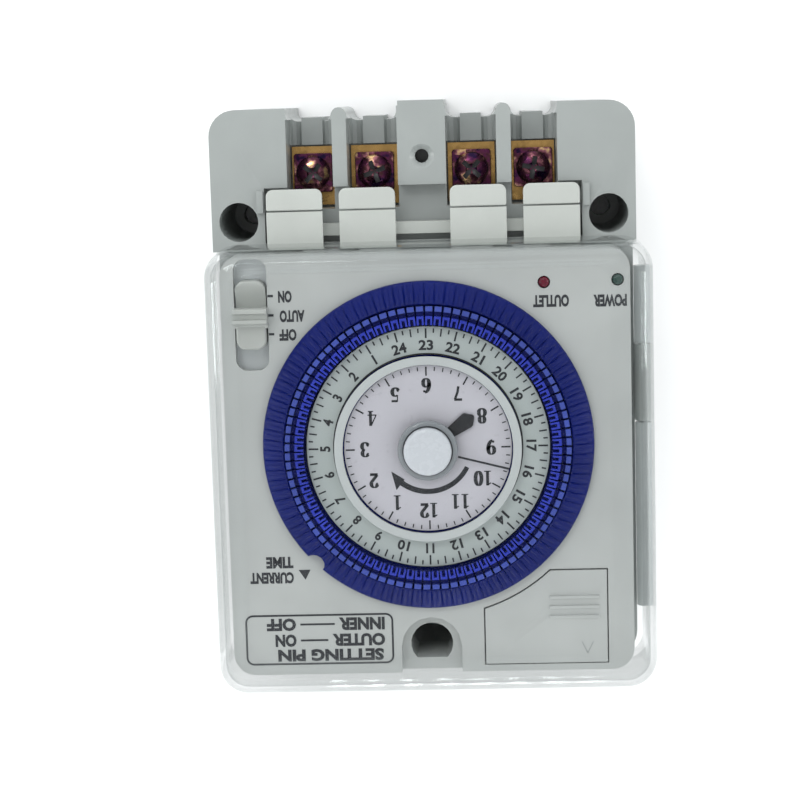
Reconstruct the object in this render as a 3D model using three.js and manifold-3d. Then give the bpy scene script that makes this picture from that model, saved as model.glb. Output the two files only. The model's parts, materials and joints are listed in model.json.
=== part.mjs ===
// Programmable 24-hour time switch, lying on its back.
// Millimetres. Origin: centre of the back face. +X right, +Y away from the terminals, +Z out of the dial.
import * as THREE from 'three';
import { mergeVertices } from 'three/addons/utils/BufferGeometryUtils.js';
import Module from 'manifold-3d';

const wasm = await Module();
wasm.setup();

// ---- Driving dimensions -------------------------------------------------------------------------

const GAP = 0.3;                      // clearance left between neighbouring pieces

const HOUSING_HALF_WIDTH = 48.4;
const HOUSING_BOTTOM_Y = -66.5;       // terminal end
const HOUSING_TOP_Y = 65.4;
const HOUSING_CORNER = 6;
const HOUSING_WALL = 2.6;
const FLOOR = 3;                      // thickness of the back
const HOUSING_RIM_Z = 26;             // seam between the housing and the front case
const TERMINAL_TOP_Z = 37.5;
const TERMINAL_INNER_Y = -34.3;       // where the terminal section ends and the case begins

const CASE_HALF_WIDTH = 46.4;
const CASE_BOTTOM_Y = -33.9;
const CASE_TOP_Y = 63.9;
const CASE_CORNER = 5;
const CASE_WALL = 2;
const PANEL_Z = 44;                   // face of the front panel
const PANEL_THICKNESS = 2;
const PANEL_UNDER_Z = PANEL_Z - PANEL_THICKNESS;

const COVER_X = [-51.3, 49.3];       // the hinge side hangs over the hinge
const COVER_BOTTOM_Y = -36.3;
const COVER_TOP_Y = 66.3;
const COVER_CORNER = 6.8;
const COVER_SKIRT_Z = 27;
const COVER_LIP_Z = 41.5;             // lower edge of the cover above the terminals
const COVER_FACE_Z = 58;
const COVER_SIDE_SHOULDERS = [10.8, 8.8];   // outline to the edge of the flat face, on each side
const COVER_BOTTOM_SHOULDER = 5.5;
const COVER_TOP_SHOULDER = 10.3;

const HINGE_X = -50.2;
const HINGE_Z = 28.2;
const HINGE_RADIUS = 1.9;
const HINGE_PIN_RADIUS = 0.75;
const HINGE_HOLE_RADIUS = 1.05;
const COVER_KNUCKLES = [[-28.2, -10.2], [8.6, 52.6]];
const HOUSING_KNUCKLE = [-9.8, 8.2];

const DIAL_Y = 10.5;                  // the dial's axis stands at (0, DIAL_Y)
const RING_RADIUS = 37.8;
const RING_BOTTOM_Z = 44.4;
const RING_RIM_Z = 45.8;              // top edge of the rim's outer wall
const SKIRT_INNER_RADIUS = 32.6;
const SKIRT_TOP_Z = 48.6;
const GROOVE_INNER_RADIUS = 27.9;
const GROOVE_FLOOR_Z = 46;
const PIN_COUNT = 96;
const LOOSE_PIN_COUNT = 8;            // these pins are pieces of their own, the rest belong to the ring
const PIN_WIDTH = 1.45;
const PIN_LENGTH = 4.2;
const PIN_TOP_Z = 50;
const RING_NOTCH_ANGLE = 45;          // degrees, from +X towards +Y
const RING_NOTCH_RADIUS = 2.3;
const SCALE_INNER_RADIUS = 21.4;
const SCALE_TOP_Z = 47;

const CLOCK_DIAL_RADIUS = 19;
const CLOCK_DIAL_Z = [47.4, 48.4];
const HOUR_HAND_Z = [48.7, 49.3];
const HOUR_HAND_ANGLE = -144.5;       // degrees, from +X towards +Y
const MINUTE_DISC_RADIUS = 21.2;
const MINUTE_DISC_Z = [49.6, 50.2];
const KNOB_SKIRT_RADIUS = 6.8;
const KNOB_CAP_RADIUS = 5.4;
const KNOB_TOP_Z = 54;

const TRANSFER_DISTANCE = 20.25;      // dial axis to the transfer arbor, towards -X
const PROGRAM_TEETH = [56, 7];        // dial gear and the transfer pinion that turns it
const HOUR_TEETH = [32, 8];
const MINUTE_TEETH = [12, 36];
const MOTOR_TEETH = 9;

const BAYS = [[5.5, 17.0], [20.3, 30.8]];   // terminal bays on each side of the middle post
const BAY_FLOOR_Z = 24;
const BAY_Y = [-58, -43.4];
const BAY_END_Y = -63.4;              // outer face of the wire entries, set back from the ears
const WIRE_SILL_Z = 26.5;
const WIRE_BLOCK_HALF = 2.4;          // half width of the block between a bay's two wire grooves
const POST_HALF_WIDTH = 5.2;          // middle post, which stands out past the ears
const POST_END_Y = -67.6;
const SCREW_Y = -51.5;
const TUNNEL_X = 42.2;
const TUNNEL_Y = -41;
const TUNNEL_RADIUS = 4.5;
const TOP_TUNNEL = [0.4, 57.8];
const TOP_TUNNEL_RADIUS = 4.9;
const TOP_TUNNEL_FLAT_Y = 61.2;
const SEAT_Z = 5;                     // seats for the wall screws' heads
const WALL_SCREW_RADIUS = 2.4;

const FLAP_CENTRES = [-29.2, -12.6, 12.6, 29.2];
const FLAP_WIDTH = 12.8;
const FLAP_Y = [-48.3, -43.5];
const FOLD_Y = -43.2;
const FLAP_Z = [38.8, 40];

const SWITCH_X = 39.5;
const SWITCH_Y = -20.3;
const SWITCH_SLOT = [7.6, 25.4];
const SLIDER_SIZE = [6.8, 15.8];

const DOOR_ARC = 40.3;                // the battery door's edge runs round the dial at this radius
const DOOR_X = [-40.3, -12];
const DOOR_Y = [40.2, 62.2];

const LED_RADIUS = 1.2;
const OUTPUT_LED = [-27, -26.2];
const POWER_LED = [-43.6, -26.4];

const CASE_SCREWS = [[-41, -12], [30.5, -27.5], [41, 57]];
const SCREW_POST_RADIUS = 3.7;

// ---- Materials ----------------------------------------------------------------------------------

function material(color, roughness, metalness = 0, opacity = 1) {
  return new THREE.MeshStandardMaterial({
    color, roughness, metalness, opacity, transparent: opacity < 1,
  });
}

const housingGrey = material(0xb4b8b6, 0.55);
const panelGrey = material(0xbec2be, 0.5);
const flapWhite = material(0xd0d3cf, 0.5);
const clear = material(0xdfe6e6, 0.08, 0, 0.3);
const blue = material(0x22298f, 0.35);
const pinBlue = material(0x3440a8, 0.35);
const scaleGrey = material(0xc3cbc7, 0.45);
const dialWhite = material(0xd2d6da, 0.4);
const black = material(0x15171a, 0.4);
const steel = material(0xb9bcc0, 0.35, 1);
const zincPurple = material(0x6a3f68, 0.35, 1);
const brass = material(0xb08d4c, 0.35, 1);
const nylon = material(0xdedacb, 0.5);
const boardGreen = material(0x2c6b45, 0.6);
const redLens = material(0x5d1020, 0.25);
const greenLens = material(0x28463c, 0.25);
const batteryBlue = material(0x35608f, 0.4);

// ---- Solids: closed three.js geometry, joined and cut -------------------------------------------

function solid(geometry) {
  const bare = geometry.clone();
  bare.deleteAttribute('normal');
  bare.deleteAttribute('uv');
  const merged = mergeVertices(bare, 1e-4);
  const mesh = new wasm.Mesh({
    numProp: 3,
    vertProperties: new Float32Array(merged.attributes.position.array),
    triVerts: outwardTriangles(merged),
  });
  return new wasm.Manifold(mesh);
}

// Triangles of a closed geometry, turned round if they face inwards and without flat slivers.
function outwardTriangles(geometry) {
  const position = geometry.attributes.position;
  const index = geometry.index.array;
  const [a, b, c] = [new THREE.Vector3(), new THREE.Vector3(), new THREE.Vector3()];
  const kept = [];
  let volume = 0;
  for (let i = 0; i < index.length; i += 3) {
    const corner = [index[i], index[i + 1], index[i + 2]];
    if (corner[0] === corner[1] || corner[1] === corner[2] || corner[2] === corner[0]) continue;
    a.fromBufferAttribute(position, corner[0]);
    b.fromBufferAttribute(position, corner[1]);
    c.fromBufferAttribute(position, corner[2]);
    volume += a.dot(b.cross(c));
    kept.push(corner);
  }
  if (volume < 0) kept.forEach((corner) => corner.reverse());
  return new Uint32Array(kept.flat());
}

function geometryOf(manifold) {
  const mesh = manifold.getMesh();
  const positions = new Float32Array(mesh.numVert * 3);
  for (let v = 0; v < mesh.numVert; v += 1) {
    for (let k = 0; k < 3; k += 1) {
      positions[v * 3 + k] = mesh.vertProperties[v * mesh.numProp + k];
    }
  }
  const geometry = new THREE.BufferGeometry();
  geometry.setAttribute('position', new THREE.BufferAttribute(positions, 3));
  geometry.setIndex(new THREE.BufferAttribute(new Uint32Array(mesh.triVerts), 1));
  geometry.computeVertexNormals();
  return geometry;
}

const join = (first, ...others) => others.reduce((sum, next) => sum.add(next), first);
const cut = (first, ...others) => others.reduce((rest, next) => rest.subtract(next), first);

function box([x0, x1], [y0, y1], [z0, z1]) {
  const geometry = new THREE.BoxGeometry(x1 - x0, y1 - y0, z1 - z0);
  geometry.translate((x0 + x1) / 2, (y0 + y1) / 2, (z0 + z1) / 2);
  return solid(geometry);
}

function rod([x, y], radius, [z0, z1], sides = 16) {
  const geometry = new THREE.CylinderGeometry(radius, radius, z1 - z0, sides);
  geometry.rotateX(Math.PI / 2);
  geometry.translate(x, y, (z0 + z1) / 2);
  return solid(geometry);
}

function rodAlongY([x, z], radius, [y0, y1], sides = 14) {
  const geometry = new THREE.CylinderGeometry(radius, radius, y1 - y0, sides);
  geometry.translate(x, (y0 + y1) / 2, z);
  return solid(geometry);
}

function rodAlongX([y, z], radius, [x0, x1], sides = 16) {
  const geometry = new THREE.CylinderGeometry(radius, radius, x1 - x0, sides);
  geometry.rotateZ(Math.PI / 2);
  geometry.translate((x0 + x1) / 2, y, z);
  return solid(geometry);
}

function slab(shape, [z0, z1], curveSegments = 4) {
  const geometry = new THREE.ExtrudeGeometry(shape, {
    depth: z1 - z0, bevelEnabled: false, curveSegments,
  });
  geometry.translate(0, 0, z0);
  return solid(geometry);
}

// A turned piece about the vertical axis at (x, y): profile is a list of [radius, height].
function turned(profile, [x, y] = [0, 0], segments = 48) {
  const points = profile.map(([radius, height]) => new THREE.Vector2(radius, height));
  const geometry = new THREE.LatheGeometry(points, segments);
  geometry.rotateX(Math.PI / 2);
  geometry.translate(x, y, 0);
  return solid(geometry);
}

function ringOf([inner, outer], [z0, z1], centre, segments = 24) {
  return turned([[inner, z0], [outer, z0], [outer, z1], [inner, z1], [inner, z0]], centre, segments);
}

function roundedOutline([x0, x1], [y0, y1], radius) {
  const shape = new THREE.Shape();
  shape.moveTo(x0 + radius, y0);
  shape.lineTo(x1 - radius, y0);
  shape.absarc(x1 - radius, y0 + radius, radius, -Math.PI / 2, 0);
  shape.lineTo(x1, y1 - radius);
  shape.absarc(x1 - radius, y1 - radius, radius, 0, Math.PI / 2);
  shape.lineTo(x0 + radius, y1);
  shape.absarc(x0 + radius, y1 - radius, radius, Math.PI / 2, Math.PI);
  shape.lineTo(x0, y0 + radius);
  shape.absarc(x0 + radius, y0 + radius, radius, Math.PI, Math.PI * 1.5);
  return shape;
}

const degrees = THREE.MathUtils.degToRad;

// A spur gear with straight-flanked teeth; a tooth's middle points at toothAngle (radians).
function gear(centre, [teeth, module], [z0, z1], toothAngle, bore = 0) {
  const pitch = (2 * Math.PI) / teeth;
  const root = module * (teeth / 2 - 1.15);
  const tip = module * (teeth / 2 + 0.8);
  const flank = [[-0.31, root], [-0.12, tip], [0.12, tip], [0.31, root]];
  const shape = new THREE.Shape();
  for (let tooth = 0; tooth < teeth; tooth += 1) {
    for (const [share, radius] of flank) {
      const angle = toothAngle + (tooth + share) * pitch;
      const [x, y] = [radius * Math.cos(angle), radius * Math.sin(angle)];
      if (tooth === 0 && share === flank[0][0]) shape.moveTo(x, y);
      else shape.lineTo(x, y);
    }
  }
  shape.closePath();
  const body = slab(shape, [z0, z1]).translate([centre[0], centre[1], 0]);
  return bore > 0 ? cut(body, rod(centre, bore, [z0 - 1, z1 + 1])) : body;
}

const root = new THREE.Group();

function place(name, body, finish) {
  const mesh = new THREE.Mesh(geometryOf(body), finish);
  mesh.name = name;
  root.add(mesh);
}

// ---- Rear housing with the terminal section ------------------------------------------------------

function eachBay(visit) {
  for (const side of [-1, 1]) {
    for (const [near, far] of BAYS) {
      visit(side < 0 ? [-far, -near] : [near, far]);
    }
  }
}

function housingOutline() {
  return roundedOutline(
    [-HOUSING_HALF_WIDTH, HOUSING_HALF_WIDTH], [HOUSING_BOTTOM_Y, HOUSING_TOP_Y], HOUSING_CORNER);
}

// Centre line of the rounded end of the wall between two neighbouring bays.
const dividerRadius = () => (BAYS[1][0] - BAYS[0][1]) / 2;
const dividerEndY = () => HOUSING_BOTTOM_Y + dividerRadius();

function terminalCuts() {
  const cuts = [];
  const above = TERMINAL_TOP_Z + 1;
  eachBay((bayX) => {
    cuts.push(box(bayX, BAY_Y, [BAY_FLOOR_Z, above]));
    cuts.push(box(bayX, [BAY_END_Y - 0.5, BAY_Y[0] + 0.1], [WIRE_SILL_Z, above]));
    const middle = (bayX[0] + bayX[1]) / 2;
    const scallop = (middle - bayX[0] - WIRE_BLOCK_HALF) / 2 - 0.1;
    for (const side of [-1, 1]) {
      const x = middle + side * (WIRE_BLOCK_HALF + scallop);
      cuts.push(rodAlongY([x, WIRE_SILL_Z], scallop, [HOUSING_BOTTOM_Y - 1, BAY_Y[0] + 0.1], 10));
    }
    // The wire entries' outer face, set back, with rounded corners and a proud middle.
    cuts.push(cut(
      slab(roundedOutline(bayX, [HOUSING_BOTTOM_Y - 5, BAY_END_Y], 2), [-1, above], 3),
      box([middle - WIRE_BLOCK_HALF, middle + WIRE_BLOCK_HALF], [BAY_END_Y - 0.9, 0], [-2, WIRE_SILL_Z])));
    cuts.push(rod([middle, SCREW_Y], 2.3, [BAY_FLOOR_Z - 8, BAY_FLOOR_Z + 1], 10));
  });
  // Recess that holds the terminal guard, and the hole of the terminal cover's screw.
  cuts.push(box([-36.2, 36.2], [-48.6, -36], [33, above]));
  cuts.push(rod([0, -55], 1.6, [26, above], 12));
  cuts.push(turned([[0, 36.3], [1.6, 36.3], [2.9, TERMINAL_TOP_Z + 0.1], [0, TERMINAL_TOP_Z + 0.1]], [0, -55], 16));
  // Square ends of the walls between neighbouring bays, which have rounded ends instead.
  for (const side of [-1, 1]) {
    const [low, high] = [BAYS[0][1] - 0.01, BAYS[1][0] + 0.01];
    cuts.push(box(side < 0 ? [-high, -low] : [low, high],
      [HOUSING_BOTTOM_Y - 1, dividerEndY()], [-1, above]));
  }
  return cuts;
}

function wallScrewHole([x, y], radius, topZ) {
  return join(
    rod([x, y], WALL_SCREW_RADIUS, [-1, SEAT_Z + 1], 14),
    rod([x, y], radius, [SEAT_Z, topZ], 22));
}

function rearHousing() {
  const main = slab(housingOutline(), [0, HOUSING_RIM_Z]);
  const terminalBlock = slab(housingOutline(), [HOUSING_RIM_Z - 1, TERMINAL_TOP_Z])
    .intersect(box([-60, 60], [-70, TERMINAL_INNER_Y], [0, 60]));
  const cavity = slab(roundedOutline(
    [-HOUSING_HALF_WIDTH + HOUSING_WALL, HOUSING_HALF_WIDTH - HOUSING_WALL],
    [TERMINAL_INNER_Y + HOUSING_WALL, HOUSING_TOP_Y - HOUSING_WALL],
    HOUSING_CORNER - HOUSING_WALL), [FLOOR, HOUSING_RIM_Z + 1]);
  const topTunnelWall = rod(TOP_TUNNEL, TOP_TUNNEL_RADIUS + 1.8, [1, HOUSING_RIM_Z], 20);
  const screwPosts = CASE_SCREWS.map((at) => rod(at, SCREW_POST_RADIUS, [1, HOUSING_RIM_Z], 12));
  const screwHoles = CASE_SCREWS.flatMap((at) => [
    rod(at, 1.7, [-1, HOUSING_RIM_Z + 1], 12),
    rod(at, 3, [-1, 2], 12),
  ]);
  const hingeBlock = join(
    box([HINGE_X - HINGE_RADIUS, -HOUSING_HALF_WIDTH + 1], HOUSING_KNUCKLE, [17, HOUSING_RIM_Z - 0.4]),
    box([HINGE_X - HINGE_RADIUS, HINGE_X + 1.2], HOUSING_KNUCKLE, [17, HINGE_Z]),
    rodAlongY([HINGE_X, HINGE_Z], HINGE_RADIUS, HOUSING_KNUCKLE));
  const hingeHole = rodAlongY([HINGE_X, HINGE_Z], HINGE_HOLE_RADIUS, [-20, 20], 12);
  const guardLugs = [-1, 1].map((side) => box(
    side < 0 ? [-37.9, -36.4] : [36.4, 37.9], [-48, -43], [TERMINAL_TOP_Z - 1, TERMINAL_TOP_Z + 1.1]));

  let body = join(cut(join(main, terminalBlock), cavity), topTunnelWall, ...screwPosts);
  const dividerEnds = [-1, 1].map((side) => rod(
    [side * (BAYS[0][1] + dividerRadius()), dividerEndY()], dividerRadius(), [0, TERMINAL_TOP_Z], 16));
  const post = box([-POST_HALF_WIDTH, POST_HALF_WIDTH], [POST_END_Y, HOUSING_BOTTOM_Y + 4],
    [0, TERMINAL_TOP_Z]);
  body = join(cut(body, ...terminalCuts(), ...screwHoles), ...dividerEnds, post);
  body = cut(body,
    wallScrewHole([-TUNNEL_X, TUNNEL_Y], TUNNEL_RADIUS, TERMINAL_TOP_Z + 2),
    wallScrewHole([TUNNEL_X, TUNNEL_Y], TUNNEL_RADIUS, TERMINAL_TOP_Z + 2),
    wallScrewHole(TOP_TUNNEL, TOP_TUNNEL_RADIUS, HOUSING_RIM_Z + 1));
  return join(cut(join(body, hingeBlock), hingeHole), ...guardLugs);
}

// ---- Front case: panel, dial opening, switch slot and battery compartment ------------------------

// Outline of the battery door, moved inwards by inset.
function doorOutline(inset) {
  const arc = DOOR_ARC + inset;
  const [left, right] = [DOOR_X[0] + inset, DOOR_X[1] - inset];
  const [low, high] = [DOOR_Y[0] + inset, DOOR_Y[1] - inset];
  const start = Math.asin((low - DIAL_Y) / arc);
  const end = Math.acos(-right / arc);
  const shape = new THREE.Shape();
  shape.moveTo(left, low);
  shape.lineTo(-arc * Math.cos(start), low);
  shape.absarc(0, DIAL_Y, arc, Math.PI - start, Math.PI - end, true);
  shape.lineTo(right, high);
  shape.lineTo(left, high);
  shape.closePath();
  return shape;
}

function topPocket() {
  const [x, y] = TOP_TUNNEL;
  const radius = 7;
  const shape = new THREE.Shape();
  shape.moveTo(x - radius, CASE_TOP_Y + 1);
  shape.lineTo(x - radius, y);
  shape.absarc(x, y, radius, Math.PI, 2 * Math.PI);
  shape.lineTo(x + radius, CASE_TOP_Y + 1);
  shape.closePath();
  return slab(shape, [PANEL_Z - 3.2, PANEL_Z + 1]);
}

function frontCase() {
  const outline = roundedOutline(
    [-CASE_HALF_WIDTH, CASE_HALF_WIDTH], [CASE_BOTTOM_Y, CASE_TOP_Y], CASE_CORNER);
  const shell = cut(
    slab(outline, [HOUSING_RIM_Z + GAP, PANEL_Z]),
    slab(roundedOutline(
      [-CASE_HALF_WIDTH + CASE_WALL, CASE_HALF_WIDTH - CASE_WALL],
      [CASE_BOTTOM_Y + CASE_WALL, CASE_TOP_Y - CASE_WALL],
      CASE_CORNER - CASE_WALL), [HOUSING_RIM_Z - 1, PANEL_UNDER_Z]));
  const tunnelBlock = box([-7.6, 8.4], [49.6, CASE_TOP_Y - 1], [HOUSING_RIM_Z + GAP, PANEL_UNDER_Z + 1]);
  const tray = slab(doorOutline(-1.4), [31, PANEL_UNDER_Z + 1]);
  const screwPosts = CASE_SCREWS.map((at) => rod(at, SCREW_POST_RADIUS, [HOUSING_RIM_Z + GAP, PANEL_UNDER_Z + 1], 12));
  const tunnel = rod(TOP_TUNNEL, TOP_TUNNEL_RADIUS, [0, PANEL_Z + 1], 22)
    .intersect(box([-20, 20], [0, TOP_TUNNEL_FLAT_Y], [0, 60]));
  const [slotWidth, slotLength] = SWITCH_SLOT;
  const slot = roundedOutline(
    [SWITCH_X - slotWidth / 2, SWITCH_X + slotWidth / 2],
    [SWITCH_Y - slotLength / 2, SWITCH_Y + slotLength / 2], 2.6);

  return cut(join(shell, tunnelBlock, tray, ...screwPosts),
    topPocket(), tunnel,
    slab(doorOutline(1.2), [32.4, PANEL_Z + 1]),
    slab(doorOutline(-0.2), [PANEL_Z - 1.6, PANEL_Z + 1]),
    slab(slot, [PANEL_UNDER_Z - 1.7, PANEL_Z + 1], 4),
    rod([0, DIAL_Y], 9, [PANEL_UNDER_Z - 1, PANEL_Z + 1], 20),
    box([-2.6, 2.6], [-23.2, -18], [PANEL_UNDER_Z - 1, PANEL_Z + 1]),
    rod(OUTPUT_LED, LED_RADIUS + 0.25, [35, PANEL_Z + 1], 12),
    rod(POWER_LED, LED_RADIUS + 0.25, [35, PANEL_Z + 1], 12),
    ...CASE_SCREWS.map((at) => rod(at, 1.7, [0, 35], 12)));
}

function batteryDoor() {
  const lid = slab(doorOutline(GAP - 0.2), [PANEL_Z - 1.3, PANEL_Z + 0.2]);
  const ribs = [46.6, 48.9, 51.2].map((y) => box([-38.4, -27], [y - 0.35, y + 0.35],
    [PANEL_Z, PANEL_Z + 0.6]));
  return join(lid, ...ribs);
}

function backupBattery() {
  return slab(roundedOutline([-37.6, -14.6], [50, 60.4], 3.5), [32.8, 41.6], 2);
}

// ---- Clear cover ---------------------------------------------------------------------------------

// How the cover's wall rounds over into its face: [distance in from the outline, height].
const COVER_EDGE = [[0.2, 49], [0.7, 52.4], [2.1, 54.9], [4.1, 56.4]];
const COVER_WALL = 1.7;

// Closed section across the cover between two outer edges, grown inwards by wall.
function coverSection([low, high], [lowShoulder, highShoulder], wall) {
  const drop = wall > 0 ? wall + 0.1 : 0;
  const floorZ = COVER_SKIRT_Z - (wall > 0 ? 1 : 0);
  const shape = new THREE.Shape();
  shape.moveTo(low + wall, floorZ);
  shape.lineTo(high - wall, floorZ);
  for (const [inset, z] of COVER_EDGE) shape.lineTo(high - wall - inset, z - drop);
  shape.lineTo(high - highShoulder - drop / 2, COVER_FACE_Z - drop);
  shape.lineTo(low + lowShoulder + drop / 2, COVER_FACE_Z - drop);
  for (const [inset, z] of [...COVER_EDGE].reverse()) shape.lineTo(low + wall + inset, z - drop);
  shape.closePath();
  return shape;
}

function coverBlock(wall) {
  const sideWays = new THREE.ExtrudeGeometry(
    coverSection(COVER_X, COVER_SIDE_SHOULDERS, wall),
    { depth: 200, bevelEnabled: false });
  sideWays.rotateX(Math.PI / 2);
  sideWays.translate(0, 100, 0);
  const lengthWays = new THREE.ExtrudeGeometry(
    coverSection([COVER_BOTTOM_Y, COVER_TOP_Y], [COVER_BOTTOM_SHOULDER, COVER_TOP_SHOULDER], wall),
    { depth: 200, bevelEnabled: false });
  lengthWays.rotateX(Math.PI / 2);
  lengthWays.rotateZ(Math.PI / 2);
  lengthWays.translate(-100, 0, 0);
  const outline = roundedOutline(
    [COVER_X[0] + wall, COVER_X[1] - wall],
    [COVER_BOTTOM_Y + wall, COVER_TOP_Y - wall], COVER_CORNER - wall);
  return solid(sideWays).intersect(solid(lengthWays))
    .intersect(slab(outline, [COVER_SKIRT_Z - 2, COVER_FACE_Z + 1]));
}

function clearCover() {
  const shell = cut(coverBlock(0), coverBlock(COVER_WALL),
    box([-60, 60], [-50, TERMINAL_INNER_Y + GAP], [0, COVER_LIP_Z]));
  const knuckles = COVER_KNUCKLES.map((span) => rodAlongY([HINGE_X, HINGE_Z], HINGE_RADIUS, span));
  const knuckleRoom = box([-60, -47], [HOUSING_KNUCKLE[0] - 0.4, HOUSING_KNUCKLE[1] + 0.4], [20, 31]);
  const knuckleRoomBelow = box([-60, -47], [HOUSING_KNUCKLE[0] - 0.4, HOUSING_KNUCKLE[1] + 0.4], [0, 31]);
  const hingeHole = rodAlongY([HINGE_X, HINGE_Z], HINGE_HOLE_RADIUS, [-60, 60], 12);
  const fingerNotch = box([-4.7, 4.7], [60, 70], [20, 32]);
  return cut(join(cut(shell, knuckleRoom), ...knuckles), knuckleRoomBelow, hingeHole, fingerNotch);
}

// ---- Terminals -----------------------------------------------------------------------------------

function terminals() {
  let number = 0;
  eachBay((bayX) => {
    number += 1;
    const at = [(bayX[0] + bayX[1]) / 2, SCREW_Y];
    const plateX = [bayX[0] + GAP, bayX[1] - GAP];
    place(`terminal_plate_${number}`,
      cut(box(plateX, [-57.6, -44], [BAY_FLOOR_Z + GAP, BAY_FLOOR_Z + 1.5]), rod(at, 2.3, [0, 60], 10)),
      brass);
    place(`clamp_washer_${number}`,
      cut(box([at[0] - 4.5, at[0] + 4.5], [at[1] - 4.5, at[1] + 4.5], [BAY_FLOOR_Z + 1.8, BAY_FLOOR_Z + 3]),
        rod(at, 2.3, [0, 60], 10)),
      zincPurple);
    place(`terminal_screw_${number}`, terminalScrew(at), zincPurple);
  });
}

function terminalScrew([x, y]) {
  const bottom = BAY_FLOOR_Z - 6;
  const headZ = BAY_FLOOR_Z + 3.3;
  const screw = turned([
    [0, bottom], [1.9, bottom + 1], [1.9, headZ], [3.9, headZ], [3.9, headZ + 1.4],
    [3.2, headZ + 2.2], [0, headZ + 2.6],
  ], [x, y], 12);
  const recess = [[2.2, 0.45], [0.45, 2.2]].map(([halfX, halfY]) => box(
    [x - halfX, x + halfX], [y - halfY, y + halfY], [headZ + 1, headZ + 4]));
  return cut(screw, ...recess);
}

function terminalGuard() {
  const bar = box([-35.8, 35.8], [-40.2, -37.4], [33.3, 36.6]);
  const tabs = FLAP_CENTRES.flatMap((x) => {
    const across = [x - FLAP_WIDTH / 2, x + FLAP_WIDTH / 2];
    return [
      box(across, [-40.2, -37.4], [36, FLAP_Z[0] + 0.2]),
      box(across, [FOLD_Y, TERMINAL_INNER_Y - GAP], FLAP_Z),
    ];
  });
  return join(bar, ...tabs);
}

function terminalFlap(x) {
  const half = FLAP_WIDTH / 2;
  const shape = new THREE.Shape();
  shape.moveTo(x + half, FLAP_Y[1]);
  shape.lineTo(x - half, FLAP_Y[1]);
  shape.lineTo(x - half, FLAP_Y[0] + 1.6);
  shape.absarc(x - half + 1.6, FLAP_Y[0] + 1.6, 1.6, Math.PI, Math.PI * 1.5);
  shape.absarc(x + half - 1.6, FLAP_Y[0] + 1.6, 1.6, Math.PI * 1.5, Math.PI * 2);
  shape.closePath();
  return slab(shape, FLAP_Z, 3);
}

// ---- Dial ----------------------------------------------------------------------------------------

const dialAxis = [0, DIAL_Y];

function aroundDial(body, angle) {
  return body.rotate([0, 0, THREE.MathUtils.radToDeg(angle)]).translate([0, DIAL_Y, 0]);
}

const pinAngle = (number) => (number + 0.5) * (2 * Math.PI) / PIN_COUNT;
const isLoosePin = (number) => number % (PIN_COUNT / LOOSE_PIN_COUNT) === 0;

function timePin(angle) {
  const start = GROOVE_INNER_RADIUS + 0.3;
  const foot = box([start + 0.2, start + 2.3], [-PIN_WIDTH / 2, PIN_WIDTH / 2],
    [GROOVE_FLOOR_Z + GAP, SKIRT_TOP_Z + 0.6]);
  const head = box([start, start + PIN_LENGTH], [-PIN_WIDTH / 2, PIN_WIDTH / 2],
    [SKIRT_TOP_Z + 0.4, PIN_TOP_Z]);
  return aroundDial(join(foot, head), angle);
}

// The pins between one loose pin and the next, as one bank.
function pinBank(firstNumber) {
  const [inner, outer] = [GROOVE_INNER_RADIUS + 0.3, GROOVE_INNER_RADIUS + 0.3 + PIN_LENGTH];
  const half = PIN_WIDTH / 2;
  const pinsInBank = PIN_COUNT / LOOSE_PIN_COUNT - 1;
  const span = ((pinsInBank - 1) * 2 * Math.PI) / PIN_COUNT;
  const shape = new THREE.Shape();
  shape.absarc(0, 0, outer, -half / outer, span + half / outer);
  shape.absarc(0, 0, inner, span + half / inner, -half / inner, true);
  shape.closePath();
  return aroundDial(slab(shape, [GROOVE_FLOOR_Z - 0.2, PIN_TOP_Z], 8), pinAngle(firstNumber));
}

function programRing() {
  const web = GROOVE_FLOOR_Z - 0.8;
  const disc = turned([
    [5.4, RING_BOTTOM_Z], [RING_RADIUS - 0.4, RING_BOTTOM_Z], [RING_RADIUS, RING_BOTTOM_Z + 0.4],
    [RING_RADIUS, RING_RIM_Z], [36.6, 46.6], [SKIRT_INNER_RADIUS + 0.6, SKIRT_TOP_Z],
    [SKIRT_INNER_RADIUS, SKIRT_TOP_Z], [SKIRT_INNER_RADIUS, GROOVE_FLOOR_Z],
    [GROOVE_INNER_RADIUS, GROOVE_FLOOR_Z], [GROOVE_INNER_RADIUS, web], [5.4, web], [5.4, RING_BOTTOM_Z],
  ], dialAxis, 48);
  const hub = ringOf([5.4, 7.4], [33, web - 0.2], dialAxis, 24);
  const banks = [];
  for (let number = 0; number < PIN_COUNT; number += 1) {
    if (isLoosePin(number)) banks.push(pinBank(number + 1));
  }
  const notch = rod([RING_RADIUS + 0.1, 0], RING_NOTCH_RADIUS, [40, 60], 16);
  return cut(join(disc, hub, ...banks), aroundDial(notch, degrees(RING_NOTCH_ANGLE)));
}

function hourScale() {
  const bottom = GROOVE_FLOOR_Z - 0.8 + GAP;
  return ringOf([SCALE_INNER_RADIUS, GROOVE_INNER_RADIUS - 0.2], [bottom, SCALE_TOP_Z], dialAxis, 40);
}

function dialBearing() {
  return turned([
    [3.4, 23.5], [9, 23.5], [9, 24.8], [5, 24.8], [5, CLOCK_DIAL_Z[0] - GAP],
    [3.4, CLOCK_DIAL_Z[0] - GAP], [3.4, 23.5],
  ], dialAxis, 16);
}

function hourHand() {
  const hand = new THREE.Shape();
  hand.absarc(0, 0, 6.6, degrees(60), degrees(300));
  hand.lineTo(8.2, -2.6);
  hand.lineTo(13, 0);
  hand.lineTo(8.2, 2.6);
  hand.closePath();
  const blade = cut(slab(hand, HOUR_HAND_Z, 10), rod([0, 0], 3.2, [0, 60], 20));
  return aroundDial(blade, degrees(HOUR_HAND_ANGLE));
}

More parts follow.
